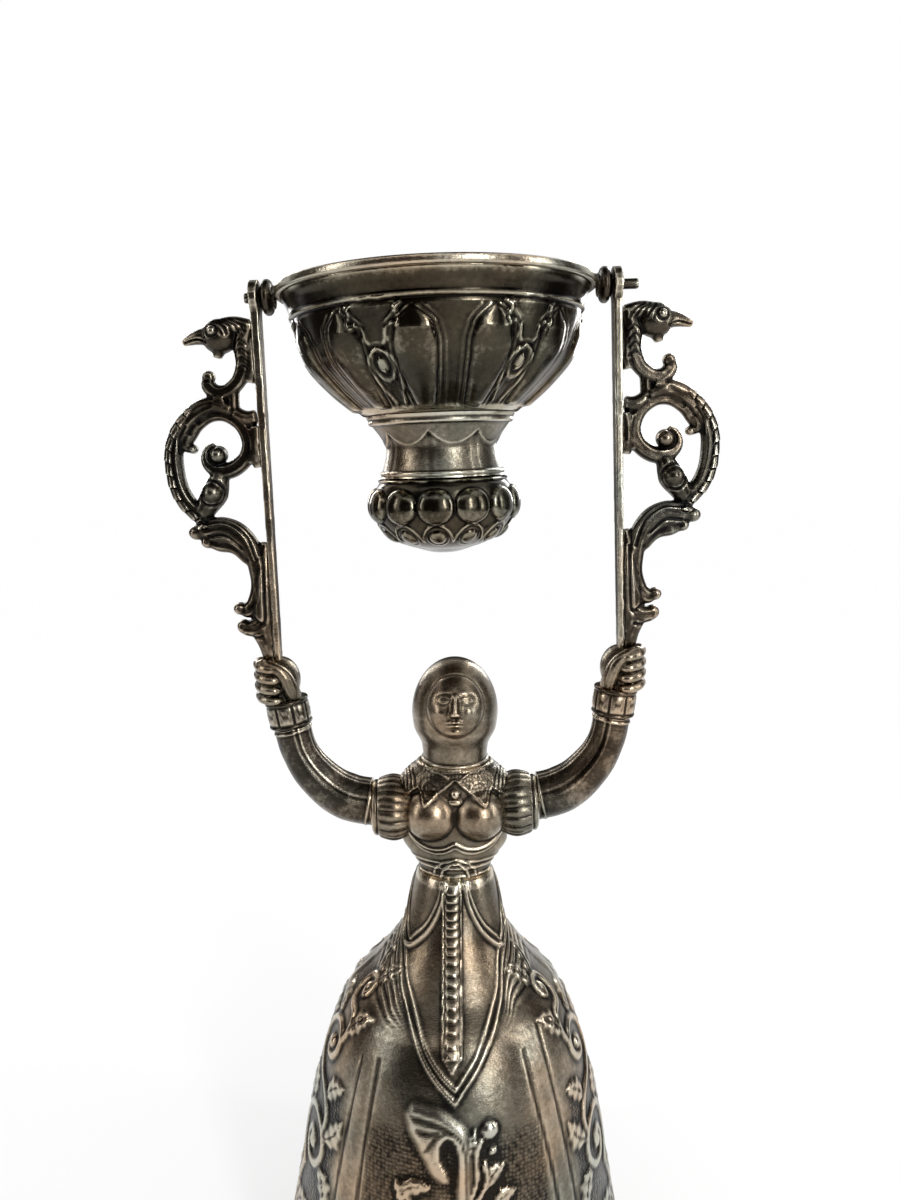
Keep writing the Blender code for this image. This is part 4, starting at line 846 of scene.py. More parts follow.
face = egg((0, 0, 0), (5.9, 4.3, 6.6), 200, 140)
p = points_of(face)
u, v = p[:, 0] / 1.08, p[:, 2] / 1.06
side = np.abs(u)
height = np.zeros(len(p))
for rise, out, half_width, up, half_height in HILLS.values():
    height += rise * np.exp(-((side - out) / half_width) ** 2 - ((v - up) / half_height) ** 2)

# Eyeball, two lids, nose and the line between the lips
height += 0.48 * np.clip(1 - ((side - EYE_OUT) / 1.1) ** 2 - ((v - EYE_UP) / 0.7) ** 2, 0, 1) ** 0.7
for bend, rise in ((0.72, 0.13), (-0.56, 0.08)):
    lid = EYE_UP + bend * np.clip(1 - ((side - EYE_OUT) / 1.2) ** 2, -0.4, 1)
    height += rise * np.exp(-((v - lid) / 0.16) ** 2) * soft_step((1.4 - np.abs(side - EYE_OUT)) / 0.3)
length = np.clip((2.3 - v) / 4.2, 0, 1)
nose = (0.25 + 1.15 * length) * np.exp(-(side / (0.50 + 0.32 * length)) ** 2)
height += nose * soft_step((2.6 - v) / 0.8) * soft_step((v + 2.25) / 0.45)
height -= 0.30 * np.exp(-(side / 1.45) ** 4 - ((v + 3.36 + 0.03 * side ** 2) / 0.13) ** 2)
height *= p[:, 1] < 0
p[:, 1] -= 1.25 * height
p *= (1.07, 1.0, 1.07)
put_points(face, p)
set_place(face, Matrix.Translation(FACE_CENTRE * MM) @ TILT @ Matrix.Translation((0, 3.2 * MM, 0)))
print("face", len(face.data.vertices), "points")

# %% [markdown]
# ### Melting pieces into one casting
# Wax parts are joined before casting, and the metal flows through them as one. Join and a voxel
# remesh do the same to meshes; a boolean union would leave sharp seams. A few rounds of smoothing
# then take off the steps of the voxels.

# %% Melt pieces into one casting


def melt_down(piece, voxel):
    """Turns a piece into one closed skin; voxel size in millimetres."""
    alone(piece)
    melt = piece.modifiers.new("melt", "REMESH")
    melt.mode = "VOXEL"
    melt.voxel_size = voxel * MM
    bpy.ops.object.modifier_apply(modifier=melt.name)


def cast_together(name, parts, voxel, polish):
    """Joins parts, melts them together and smooths the skin some times."""
    alone(parts[0])
    for part in parts[1:]:
        part.select_set(True)
    bpy.ops.object.join()
    casting = bpy.context.object
    casting.name = name
    melt_down(casting, voxel)
    soften = casting.modifiers.new("soften", "SMOOTH")
    soften.factor = 0.5
    soften.iterations = polish
    bpy.ops.object.modifier_apply(modifier=soften.name)
    return casting


head = cast_together("head", [hood, face], 0.15, 1)
hand_over(head, "hooded_head", worn_silver, "worn_silver", rounds=16)

# %% [markdown]
# ## Sleeve puffs
# The shoulders end in short gathered puffs between two bands. Each is spun about its own axis and its
# gathers are chased as rounded folds that pinch together at both ends.

# %% Sleeve puffs
PUFF_FROM, PUFF_TO = -2.6, 6.4
PUFF = [(PUFF_FROM, 5.9), (1.6, 7.3), (4.6, 6.6), (PUFF_TO, 5.5)]
puff_outline = [(0.0, PUFF_TO)] + profile(PUFF, rows(PUFF_TO, PUFF_FROM, 76)) + [(0.0, PUFF_FROM)]
puff = spin_shell("puff", puff_outline, 240)
p = points_of(puff)
t, radius = p[:, 2], np.hypot(p[:, 0], p[:, 1])
turn = np.arctan2(p[:, 1], p[:, 0])
belly = soft_step((t - PUFF_FROM) / 2.4) * soft_step((5.3 - t) / 1.2)
belly = belly * (0.5 + 0.5 * soft_step(0.6 + np.cos(turn)))
folds = np.abs(np.sin(9 * turn + 0.4 * np.sin(3 * turn) + 0.12 * t))
relief = belly * (0.42 * folds ** 0.8 - 0.2)
relief += ridge(t, 5.8, 0.5, 0.25)
relief += ridge(t, 5.15, 0.2, -0.2)
relief[(radius < 3) | (t < -2.5) | (t > 6.35)] = 0
push_out(puff, relief)
set_place(puff, Matrix.Translation((12.2 * MM, 0, -1.1 * MM)) @ Matrix.Rotation(math.pi / 2, 4, "Y"))
hand_over_pair(puff, "sleeve_puff", worn_silver, "worn_silver")

# %% [markdown]
# ## Sleeves
# The arms run out from the puffs and up to the wrists. A curve with a round bevel gives the bend; it
# is made a mesh and squared off at both ends. The same bars serve for fingers and scrolls later.

# %% Bars along a curve


def bar(stations, resolution=10, bevel=4):
    """A round bar through (x, y, z, radius) stations in millimetres, made a closed mesh."""
    bpy.ops.object.select_all(action="DESELECT")
    bpy.ops.curve.primitive_bezier_curve_add()
    guide = bpy.context.object
    guide.data.dimensions = "3D"
    guide.data.resolution_u = resolution
    guide.data.bevel_depth = MM
    guide.data.bevel_resolution = bevel
    guide.data.use_fill_caps = True
    knots = guide.data.splines[0].bezier_points
    knots.add(len(stations) - len(knots))
    for knot, (x, y, z, radius) in zip(knots, stations):
        knot.co = (x * MM, y * MM, z * MM)
        knot.radius = radius
        knot.handle_left_type = knot.handle_right_type = "AUTO"
    bpy.ops.object.convert(target="MESH")
    edit_all(bpy.context.object)
    bpy.ops.mesh.remove_doubles(threshold=1e-6)
    bpy.ops.mesh.normals_make_consistent(inside=False)
    bpy.ops.object.mode_set(mode="OBJECT")
    return bpy.context.object


def cut_square(piece, place, inward):
    """Cuts an end off flat and closes it; inward points from the cut into the piece."""
    edit_all(piece)
    bpy.ops.mesh.bisect(plane_co=Vector(place) * MM, plane_no=inward, use_fill=True, clear_inner=True)
    bpy.ops.object.mode_set(mode="OBJECT")


print("bars are ready")

# %% [markdown]
# ### The sleeve and its seams
# A chaser works along the sleeve and round it. So each point is told how far along the middle line it
# lies and at what turn about it, and five seams follow the length at steady turns. An unwrapped
# texture would do the same, but heights give real edges that catch the light.

# %% Sleeves
SPLAY = math.radians(8)
CUFF_AXIS = Vector((math.sin(SPLAY), 0, math.cos(SPLAY)))
CUFF_FOOT = Vector((35.8, 0, 19.0))
start, end = Vector((18.7, 0, 0)), CUFF_FOOT - 0.3 * CUFF_AXIS
reach, rise = end.x - start.x, end.z
SLEEVE = [(start.x - 1.7, 0, 0, 5.2), (start.x + reach * 0.33, 0, rise * 0.10, 5.2),
          (start.x + reach * 0.66, 0, rise * 0.33, 4.6), (start.x + reach * 0.90, 0, rise * 0.66, 4.0),
          (end.x + 1.3 * CUFF_AXIS.x, 0, end.z + 1.3 * CUFF_AXIS.z, 4.0)]
sleeve = bar(SLEEVE, resolution=34, bevel=30)
cut_square(sleeve, start, (1, 0, 0))
cut_square(sleeve, end, -CUFF_AXIS)


def run_along(line):
    """For each point of a line, the way onward and the distance run so far."""
    onward = np.gradient(line, axis=0)
    onward /= np.linalg.norm(onward, axis=1)[:, None]
    return onward, np.concatenate([[0], np.cumsum(np.linalg.norm(np.diff(line, axis=0), axis=1))])


p = points_of(sleeve)
path = smooth_line([s[:3] for s in SLEEVE], 24)
nearest = ((p[:, None, :] - path[None]) ** 2).sum(2).argmin(1)
ahead, along = run_along(path)
off = p - path[nearest]
step = (off * ahead[nearest]).sum(1)
away = off - step[:, None] * ahead[nearest]
up = np.cross(ahead[nearest], (0, 1, 0))
turn = np.arctan2((away * up).sum(1), -away[:, 1])
t = along[nearest] + step
rim = np.linalg.norm(away, axis=1)
relief = np.zeros(len(p))
for line in (-2.3, -1.3, 0.35, 1.3, 2.3):
    aside = ((turn - line + math.pi) % math.tau - math.pi) * rim
    for shift, rise in ((-0.5, 0.1), (0.5, 0.1), (0.0, -0.14)):
        relief += ridge(aside, shift, 0.42, rise)
from_end = np.minimum(t - 1.9, along[-1] - 1.6 - t)
relief += ridge(from_end, 0.5, 0.4, 0.25)
relief *= rim > 3
push_out(sleeve, relief)
hand_over_pair(sleeve, "sleeve", sleeve_silver, "worn_silver")

# %% [markdown]
# ## Cuffs
# A turned-back cuff closes each sleeve. It is a short spun drum with a raised band at both ends and
# eight plain panels between them.

# %% Cuffs
CUFF_LONG = 6.2
cuff_rows = [(1.0, 4.37), (0.97, 4.7), (0.92, 4.78), (0.87, 4.7), (0.84, 4.5), (0.14, 4.5), (0.11, 4.7),
             (0.06, 4.78), (0.02, 4.6), (0.0, 4.37)]
cuff_line = [(radius, share * CUFF_LONG) for share, radius in cuff_rows]
cuff_outline = [(0.0, CUFF_LONG)] + [tuple(q) for q in smooth_line(cuff_line)] + [(0.0, 0.0)]
cuff = spin_shell("cuff", cuff_outline, 144)
p = points_of(cuff)
turn, t = np.degrees(np.arctan2(p[:, 1], p[:, 0])), p[:, 2]
PANEL = 45  # degrees for each of the eight
in_panel = np.abs((turn + PANEL / 2) % PANEL - PANEL / 2) / (PANEL / 2)
relief = 0.2 * soft_step((0.88 - in_panel) / 0.12) * soft_step((2.1 - np.abs(t - 3.0)) / 0.4)
relief += 0.12 * np.clip(1 - (np.hypot(in_panel * 1.7, (t - 3.0) / 1.2) - 0.8) ** 2 / 0.03, 0, 1)
relief[np.hypot(p[:, 0], p[:, 1]) < 4.2] = 0
push_out(cuff, relief)
set_place(cuff, Matrix.Translation(CUFF_FOOT * MM) @ Matrix.Rotation(SPLAY, 4, "Y"))
hand_over_pair(cuff, "cuff", dark_silver, "worn_silver")

# %% [markdown]
# ## Hands
# Each fist is cast round the foot of its bracket. The palm, wrist, four fingers and the thumb are
# laid together as rounded forms, melted into one skin and smoothed. The strap ends inside the fist
# where nothing of it shows, so no slot is cut for it here.

# %% Hands
HAND_X, HAND_Z = 37.9, 29.3
cuff_top = CUFF_FOOT + 6.5 * CUFF_AXIS
parts = [egg((HAND_X - 0.3, 0.3, HAND_Z), (4.4, 4.7, 5.3)),
         bar([(*(cuff_top - CUFF_AXIS), 3.5), (HAND_X - 0.4, 0, HAND_Z - 2.4, 3.9)])]
for i, size in enumerate((1.02, 1.12, 1.15, 1.12)):
    z = HAND_Z + (i - 1.5) * 2.35 + 0.1
    finger = [(HAND_X + 0.6, 1.8, z * 0.8 + HAND_Z * 0.2, size), (HAND_X + 3.7, 0.6, z + 0.5, size * 1.08),
              (HAND_X + 3.5, -2.7, z + 0.3, size * 1.05), (HAND_X + 1.9, -4.3, z, size),
              (HAND_X + 0.1, -4.6, z - 0.2, size * 0.9), (HAND_X - 0.9, -3.4, z - 0.2, size * 0.7)]
    parts.append(bar(finger))
thumb_tip = (HAND_X + 2.6, -3.0, HAND_Z + 4.4)
parts.append(bar([(HAND_X - 3.3, -1.8, HAND_Z - 3.4, 1.9), (HAND_X - 2.9, -3.5, HAND_Z - 0.6, 1.75),
                  (HAND_X - 1.6, -4.2, HAND_Z + 2.4, 1.5), (HAND_X + 1.0, -4.0, HAND_Z + 4.1, 1.25),
                  (*thumb_tip, 1.1)]))
parts.append(egg(thumb_tip, (1.5, 1.15, 1.15)))
parts.append(bar([(HAND_X - 3.5, 2.2, HAND_Z - 1.5, 1.9), (HAND_X + 2.6, 2.6, HAND_Z - 1.2, 1.9)]))
hand = cast_together("hand", parts, 0.17, 8)
cut_square(hand, cuff_top, CUFF_AXIS)
hand_over_pair(hand, "hand", worn_silver, "worn_silver", rounds=14)

# %% [markdown]
# ## Bracket straps
# A flat bar with a round eye at its head carries the small cup. The CAD node has the right shape, so
# a copy of it is welded, its edges are rounded with a bevel, as a file would leave them, and it is
# melted into an even skin that can take the wear.

# %% Straps


def welded_copy(node, bevel):
    """A copy of a CAD node with joined corners and rounded edges; the node itself is left alone."""
    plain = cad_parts[node]
    copy = plain.copy()
    copy.data = plain.data.copy()
    for key in list(copy.keys()):
        del copy[key]
    bpy.context.scene.collection.objects.link(copy)
    copy.parent = None
    edit_all(copy)
    bpy.ops.mesh.remove_doubles(threshold=2e-6)
    bpy.ops.mesh.dissolve_limited(angle_limit=math.radians(2))
    bpy.ops.object.mode_set(mode="OBJECT")
    soft = copy.modifiers.new("soft edges", "BEVEL")
    soft.width = bevel * MM
    soft.segments = 3
    soft.limit_method = "ANGLE"
    soft.angle_limit = math.radians(40)
    bpy.ops.object.modifier_apply(modifier=soft.name)
    return copy


for side in ("left", "right"):
    strap = welded_copy(side + "_bracket_strap", 0.3)
    melt_down(strap, 0.22)
    hand_over(strap, side + "_bracket_strap", worn_silver, "polished_silver", rounds=20)

# %% [markdown]
# ## Bracket scrolls
# The openwork on each bracket is a casting: a bird's head, a large C-scroll with a curled leaf and a
# pearl inside it, and acanthus leaves running down to the hand. Tapering bars and balls follow its
# lines; melting them together gives the soft joins of cast metal, and ridges are chased afterwards.

# %% The scroll's bars
STRAP_FACE, SCROLL_REACH = 38.5, 20.48
BIRD_EYE, BUD, PEARL = (7.9, 6.4), (8.9, 31.7), (10.4, 39.6)
# Each bar runs through (out from the strap, down from the pivot, radius)
BARS = {
    "neck": [(0.6, 5.0, 1.9), (2.0, 9.4, 2.2), (2.3, 13.6, 1.7), (4.2, 17.3, 1.6), (7.8, 18.8, 1.6),
             (9.9, 17.2, 1.6), (9.6, 15.6, 1.1)],
    "outer": [(5.6, 22.5, 1.6), (9.6, 21.3, 1.9), (14.4, 24.0, 2.0), (17.8, 29.0, 2.0), (18.4, 34.4, 2.0),
              (16.9, 40.6, 2.0), (13.2, 45.0, 1.9)],
    "curl": [(14.7, 28.2, 1.1), (12.4, 24.9, 1.4), (8.6, 23.2, 1.5), (5.0, 24.4, 1.5), (2.7, 27.5, 1.5),
             (2.5, 31.0, 1.6), (4.7, 34.0, 1.8), (8.3, 35.1, 1.8), (11.1, 33.4, 1.5), (11.0, 30.8, 1.1),
             (9.4, 29.8, 0.9)],
    "acanthus": [(14.6, 48.0, 1.6), (12.8, 47.4, 2.1), (8.2, 47.0, 2.0), (4.2, 50.2, 2.1), (2.4, 56.0, 2.0),
                 (2.6, 62.0, 1.9), (4.8, 65.2, 1.9), (6.5, 65.0, 1.3)],
    "brow": [(0.3, 5.8, 1.7), (4.0, 5.6, 2.2), (7.4, 6.6, 2.6)],
    "throat": [(6.6, 8.2, 2.2), (7.6, 11.8, 0.9)],
    "beak": [(8.8, 7.2, 2.0), (11.5, 7.5, 1.5), (14.5, 8.5, 0.7)],
    "neck web": [(0.2, 6.0, 1.4), (0.6, 11.0, 1.6), (0.7, 15.0, 1.6), (1.2, 17.0, 1.3)],
    "leaf": [(14.9, 27.4, 1.4), (15.4, 29.6, 1.3), (14.2, 30.3, 0.9)],
    "lip root": [(4.8, 18.6, 1.3), (5.0, 22.8, 1.3)],
    "lip middle": [(6.6, 20.4, 1.7), (8.6, 20.6, 1.7)],
    "shoulder": [(0.3, 24.0, 1.5), (2.6, 24.3, 1.7), (4.8, 23.2, 1.6)],
    "ring web": [(0.3, 26.0, 1.6), (0.8, 29.0, 1.7), (0.8, 32.0, 1.7), (0.4, 34.6, 1.2)],
    "ring fill": [(1.8, 26.4, 1.5), (1.5, 30.0, 1.5), (2.2, 33.6, 1.5)],
    "pearl web": [(8.6, 35.4, 1.8), (10.3, 39.6, 3.0), (12.8, 43.6, 2.2), (13.4, 45.6, 1.3)],
    "leaf fill": [(12.2, 49.0, 1.5), (8.6, 49.0, 2.0), (5.6, 51.0, 1.9), (3.4, 54.6, 1.6)],
    "under leaf": [(12.4, 50.0, 1.3), (10.0, 50.6, 1.8), (6.8, 51.6, 1.5), (4.4, 54.2, 1.2)],
    "web": [(0.3, 50.6, 1.0), (0.9, 55.0, 1.9), (1.4, 61.0, 2.5), (1.6, 67.0, 2.5), (1.0, 73.0, 1.8)],
    "spur": [(1.6, 68.0, 2.2), (3.6, 69.2, 2.1), (5.6, 69.2, 1.8), (6.3, 68.8, 1.2)],
    "foot stem": [(2.6, 70.4, 2.0), (1.5, 73.0, 1.9), (1.0, 75.4, 1.7), (0.6, 77.0, 1.3)],
}
parts = []
for stations in BARS.values():
    piece = bar([(STRAP_FACE + out, 0, PIVOT - down, radius) for out, down, radius in stations], 8, 4)
    piece.data.transform(Matrix.Diagonal((1, 1.05, 1, 1)))
    parts.append(piece)
for (out, down), radii in (((6.8, 7.4), (3.78, 3.06, 3.6)), (BUD, (2.0, 2.6, 2.0)), (PEARL, (2.7, 3.6, 2.7)),
                           ((9.7, 15.6), (1.4, 1.6, 1.4)), ((6.7, 64.9), (1.5, 1.9, 1.4)),
                           ((6.2, 68.9), (1.5, 1.9, 1.6)), ((14.8, 48.0), (1.8, 1.9, 1.6)),
                           ((12.6, 50.1), (1.5, 1.7, 1.4)), ((14.2, 30.3), (1.1, 1.4, 1.0))):
    parts.append(egg((STRAP_FACE + out, 0, PIVOT - down), radii))
scroll = cast_together("scroll", parts, 0.22, 8)
cut_square(scroll, (STRAP_FACE, 0, 0), (1, 0, 0))
print("scroll", len(scroll.data.polygons), "faces")

# %% [markdown]
# ### Chasing on the scroll
# The face of each band is hollowed by a groove, the back of the large scroll is notched like a row
# of scales, and the bird gets its eye, its feathers and the slit of its beak. Only faces turned to
# the front or back are worked, as a chaser would do, so the outline stays.

# %% Chase the scroll
p = points_of(scroll)
u, v = p[:, 0] - STRAP_FACE, PIVOT - p[:, 2]
facing = np.clip(np.abs(normals_of(scroll)[:, 1]) * 1.4 - 0.15, 0, 1)
relief = np.zeros(len(p))
for name, trim in (("neck", 1), ("outer", 1), ("curl", 1), ("acanthus", 1), ("under leaf", 0), ("spur", 0)):
    line = [(out, down) for out, down, _ in BARS[name]][trim:]
    relief += chase(u, v, line, 0.8, -0.2, 8)
for line in ([(12.6, 46.0), (8.0, 45.9), (4.0, 49.0), (2.2, 54.0)],
             [(12.0, 48.9), (8.4, 48.7), (5.2, 51.4)], [(0.9, 54.0), (0.9, 62.0), (1.3, 68.0), (3.4, 67.0)],
             [(1.9, 71.0), (3.6, 71.2), (5.4, 70.6)], [(15.0, 25.6), (16.4, 28.0), (16.6, 31.0)]):
    relief += chase(u, v, line, 0.5, -0.3)

# The notched back: each point's place along the outer band and beside it
back = smooth_line([(out, down) for out, down, _ in BARS["outer"]][2:], 10)
way, run = run_along(back)
gaps = np.hypot(u[:, None] - back[:, 0], v[:, None] - back[:, 1])
nearest = gaps.argmin(1)
du, dv = u - back[nearest, 0], v - back[nearest, 1]
offset = du * way[nearest, 1] - dv * way[nearest, 0]
step = du * way[nearest, 0] + dv * way[nearest, 1]
NOTCH = 2.6
notch = (run[nearest] + step + 0.5 * np.abs(offset)) % NOTCH / NOTCH
on_back = (gaps.min(1) < 2.3) & (offset > 0.25)
relief += np.where(on_back, 0.35 * notch - 0.3 * np.clip(1 - notch / 0.16, 0, 1), 0)

# The bird's eye, beak, crest and neck feathers
relief += boss(u, v, BIRD_EYE, (0.95, 0.9), 0.55, 0.6)
relief += chase(u, v, [(14.2, 8.6), (11.4, 8.0), (9.4, 8.6)], 0.32, -0.4)
relief += chase_all(u, v, [([(1.2 + 1.15 * k, 6.8 + 0.1 * k), (2.3 + 1.15 * k, 5.2),
                             (4.2 + 1.1 * k, 4.1 + 0.12 * k)], 0.4, -0.17) for k in range(5)])
relief += chase_all(u, v, [([(1.0, 9.4 + 1.7 * k), (2.2, 8.4 + 1.7 * k), (3.4, 9.2 + 1.7 * k)], 0.36, -0.14)
                           for k in range(4)])

# Grooves round the eye, the pearl and the bud
for (out, down), radius, half, depth in ((BIRD_EYE, 1.25, 0.3, 0.25), (PEARL, 2.7, 0.4, 0.3),
                                         (BUD, 2.1, 0.35, 0.3)):
    relief += ridge(np.hypot(u - out, v - down), radius, half, -depth)
push_out(scroll, relief * facing * (u > 0.05))
p = points_of(scroll)
p[:, 0] = np.minimum(p[:, 0], STRAP_FACE + SCROLL_REACH)
put_points(scroll, p)
hand_over_pair(scroll, "bracket_scroll", dark_silver, "oxidised_silver", rounds=14)

# %% [markdown]
# ## The bowl of the small cup
# The bowl is raised thin and chased from inside: twelve pointed lobes stand round it, and over every
# second gap hangs a stepped bracket with an eye-shaped boss beneath. The pattern repeats six times,
# so each point is first folded into one sixth of the turn.

# %% The bowl's outline
BOWL_FOOT, LIP = -24.9, -0.8
BOWL = [(BOWL_FOOT, 16.3), (-19.35, 22.9), (-13.8, 27.5), (-4.8, 30.3), (LIP, 31.6)]
inner = [(0.0, -23.1)] + profile(BOWL, rows(-23.1, -4.8, 14), 1.35)
inner += [(30.7, LIP), (30.7, 0.9), (31.6, 0.9)]
outer = profile(BOWL, rows(LIP, -24.5, 92)) + [(16.3, BOWL_FOOT), (0.0, BOWL_FOOT)]
bowl = spin_shell("bowl", inner + outer, 600)
print("bowl", len(bowl.data.vertices), "points")

# %% [markdown]
# ### Chasing the bowl
# Each lobe is a pointed dome with a double outline. Where a bracket or a boss lies over the lobes,
# they are first pressed back, so that the forms overlap cleanly as on chased metal. Doing one sixth
# and folding the turn gives all six the same pattern.

# %% Chase the bowl
SIXTH = 60
TOP, FOOT = -6.9, -24.2
EYE = -16.6
p, turn, radius, h = round_axis(bowl)
outer_face = (radius > flow(BOWL, h) - 0.4) & (h < -1.0) & (h > -24.6)
fold = (turn - 7) % SIXTH
from_bracket = SIXTH / 2 - np.minimum(fold, SIXTH - fold)
b = np.radians(from_bracket) * radius
lobe = np.radians(np.abs(from_bracket - SIXTH / 4)) * radius
share = np.clip((TOP - h) / (TOP - FOOT), 0, 1)
half = flow([(0, 0), (0.18, 3.5), (0.36, 4.1), (0.55, 3.7), (0.8, 2.7), (1.0, 1.7)], share)
inside_lobe = np.clip((half - lobe) / np.maximum(half, 0.5), 0, 1) * (h < TOP)
relief = 1.05 * np.sqrt(1 - (1 - inside_lobe) ** 2) * np.clip(share * 5, 0, 1)
for away, width, rise in ((0.5, 0.5, 0.22), (1.6, 0.5, 0.1)):
    edge = lobe - half - away * (1 + 0.6 * np.clip(1 - share * 5, 0, 1))
    relief += ridge(edge, 0, width, rise) * (share > 0) * (h < TOP + 1.0)


def press_back(relief, places, most):
    """Lowers what is under a form that lies on top; places is 1 under it."""
    return relief * (1 - places) + np.minimum(relief, most) * places


STEPS = [(0, -12.9), (1.4, -12.9), (2.3, -12.3), (2.4, -10.6), (3.5, -9.6), (4.6, -9.9), (5.1, -8.8),
         (4.7, -7.2), (5.6, -6.4)]
UNDER = [(-2, -12.9), (1.4, -12.9), (2.3, -12.3), (2.4, -10.4), (3.5, -9.4), (4.9, -9.3), (5.2, -6.2),
         (-2, -6.2)]
PLATE = [(-1, -12.6), (1.4, -12.6), (2.2, -12.0), (2.3, -9.8), (4.6, -8.4), (4.6, -6.0), (-1, -6.0)]
relief = press_back(relief, panel(b, h, UNDER, 1, 0.35, 2), 0.2)
relief += chase(b, h, STEPS, 0.55, 0.32, steps=3)
relief += panel(b, h, PLATE, 0.3, 0.3, 2)
ring = np.sqrt((b / 2.05) ** 2 + ((h - EYE) / 2.5) ** 2)
relief = press_back(relief, soft_step((1.3 - ring) / 0.2), 0.12)
relief += ridge(ring, 1, 0.24, 0.3)
relief += boss(b, h, (0, EYE), (1.2, 1.5), 0.7, 0.6)
relief += chase(b, h, [(0.2, -13.6), (2.2, -15.0), (2.9, -17.2), (2.2, -20.0), (0.9, -23.2)], 0.45, 0.3)
relief += ridge(h, -5.2, 0.4, 0.4) + ridge(h, -5.95, 0.35, -0.25)
above_foot = soft_step((h + 24.3) / 1.2)
relief *= above_foot
relief[~outer_face] = 0
push_out(bowl, relief - 0.2 * outer_face * soft_step((-1.5 - h) / 1.5) * above_foot)
set_place(bowl, CUP)
hand_over(bowl, "cup_bowl", cup_silver, "oxidised_silver", "small_cup", depth=0.12)
rub_clean(bowl, ~outer_face & (h > -24))

# %% [markdown]
# ## The rim band
# A flat band strengthens the lip. It is spun from its own small outline, with rounded edges, and is
# the brightest piece because hands and cloths rub it most.

# %% The rim band
rim_outline = [(31.9, 0.9), (32.6, 0.9), (32.85, 0.82), (33.0, 0.6), (33.0, -0.3), (32.85, -0.62),
               (32.6, -0.8), (31.9, -0.8), (31.9, 0.9)]
rim_band = set_place(spin_shell("rim", rim_outline, 300), CUP)
hand_over(rim_band, "cup_rim_band", bright_silver, "polished_silver", "small_cup", sharp=40)
rub_clean(rim_band, level=0.85)

# %% [markdown]
# ## The neck
# Below the bowl a hollow spool leads to the knop. It is turned thin in the middle, with a bead at
# both ends, and eight petals hang from its top. The turn is folded at every petal.

# %% The neck
NECK_TOP, NECK_FOOT = -25.2, -37.8
NECK = [(NECK_FOOT, 13.1), (-31.8, 11.7), (NECK_TOP, 15.5)]
neck_outline = profile(NECK, rows(NECK_TOP, NECK_FOOT, 80))
neck_outline += profile(NECK, rows(NECK_FOOT, NECK_TOP, 12), 1.0) + neck_outline[:1]
neck = spin_shell("neck", neck_outline, 240)
p, turn, radius, h = round_axis(neck)
outer_face = radius > flow(NECK, h) - 0.4
HALF_PETAL = 22.5  # degrees
RADIAN = 57.3  # degrees
fold = np.abs((turn - 12 + HALF_PETAL) % 45 - HALF_PETAL)
petal = -28.6 - 2.6 * (1 - (fold / HALF_PETAL) ** 2)
relief = 0.2 * soft_step((h - petal) / 0.7 + 0.5)
relief += ridge(h, petal, 0.6, 0.1)
relief += ridge(h, -26.4, 0.5, 0.4) + ridge(h, -36.9, 0.5, 0.35)
relief += ridge((HALF_PETAL - fold) * radius / RADIAN, 0, 0.8, -0.1) * (h < petal)
relief[~outer_face] = 0
push_out(neck, relief)
set_place(neck, CUP)
hand_over(neck, "cup_neck", worn_silver, "polished_silver", "small_cup")

# %% [markdown]
# ## The knop
# The knop is a hollow ball, full at the shoulder, with twelve cabochons round it and a row of small
# eyes under them. Its outline is spun with rows close together where the wall turns in, and it is
# then chased in one twelfth of the turn.

# %% The knop
KNOP_TOP, KNOP_WIDE, KNOP_FOOT = -38.1, -44.4, -54.0


def knop_radius(height, wall=0.0):
    """Full at the shoulder, round below; wall is nought for the outside."""
    up = np.clip((height - KNOP_WIDE) / (KNOP_TOP - KNOP_WIDE), 0, 1)
    down = np.clip((KNOP_WIDE - height) / (KNOP_WIDE - KNOP_FOOT - wall), 0, 1)
    shoulder = 13.1 + 2.4 * np.sqrt(1 - up ** 2) - wall
    return np.where(height > KNOP_WIDE, shoulder, (15.5 - wall) * (1 - down ** 2) ** 0.42)


def knop_line(floor, count, wall):
    """Heights close together near the floor, where the wall turns in."""
    down = [KNOP_WIDE - (KNOP_WIDE - floor) * math.sin(a) for a in rows(0, math.pi / 2, count)]
    up = [KNOP_TOP - (KNOP_TOP - KNOP_WIDE) * (1 - math.cos(a)) for a in rows(0, math.pi / 2, count // 2)]
    return [(float(knop_radius(z, wall)), z) for z in up[:-1] + down[:-1]] + [(0.0, floor)]


knop_outline = knop_line(KNOP_FOOT, 74, 0.0) + knop_line(KNOP_FOOT + 1.0, 16, 1.0)[::-1]
knop = spin_shell("knop", knop_outline + [(13.1, KNOP_TOP)], 420)
p, turn, radius, h = round_axis(knop)
outer_face = (radius > knop_radius(h) - 0.35) & (h < KNOP_TOP - 0.3) & (radius > 2)
TWELFTH = 30
fold = (turn + 6 + TWELFTH / 2) % TWELFTH - TWELFTH / 2
c = np.radians(fold) * radius
ring = np.sqrt((c / 3.95) ** 2 + ((h + 43.5) / 3.75) ** 2)
relief = ridge(ring, 0, 1, 1.6, 0.5)
eye = np.sqrt((c / 2.1) ** 2 + ((h + 50.2) / 1.75) ** 2)
relief += ridge(eye, 0, 0.85, 0.75, 0.5) + ridge(eye, 1.05, 0.15, 0.15)
arch = np.sqrt((c / 3.2) ** 2 + ((h + 51.6) / 4.3) ** 2)
relief += ridge(arch, 1, 0.12, 0.35)
relief[~outer_face] = 0
push_out(knop, relief - 0.6 * outer_face * soft_step((radius - 2) / 5))
p = points_of(knop)
p[:, 2] = np.maximum(p[:, 2], KNOP_FOOT)
put_points(knop, p)
set_place(knop, CUP)
hand_over(knop, "cup_knop", cup_silver, "oxidised_silver", "small_cup", depth=0.14)

# %% [markdown]
# ## Pivot beads and pins
# A turned bead keeps the cup off each strap, and a pin runs through it into the strap's eye. Both
# are spun about the pivot line.

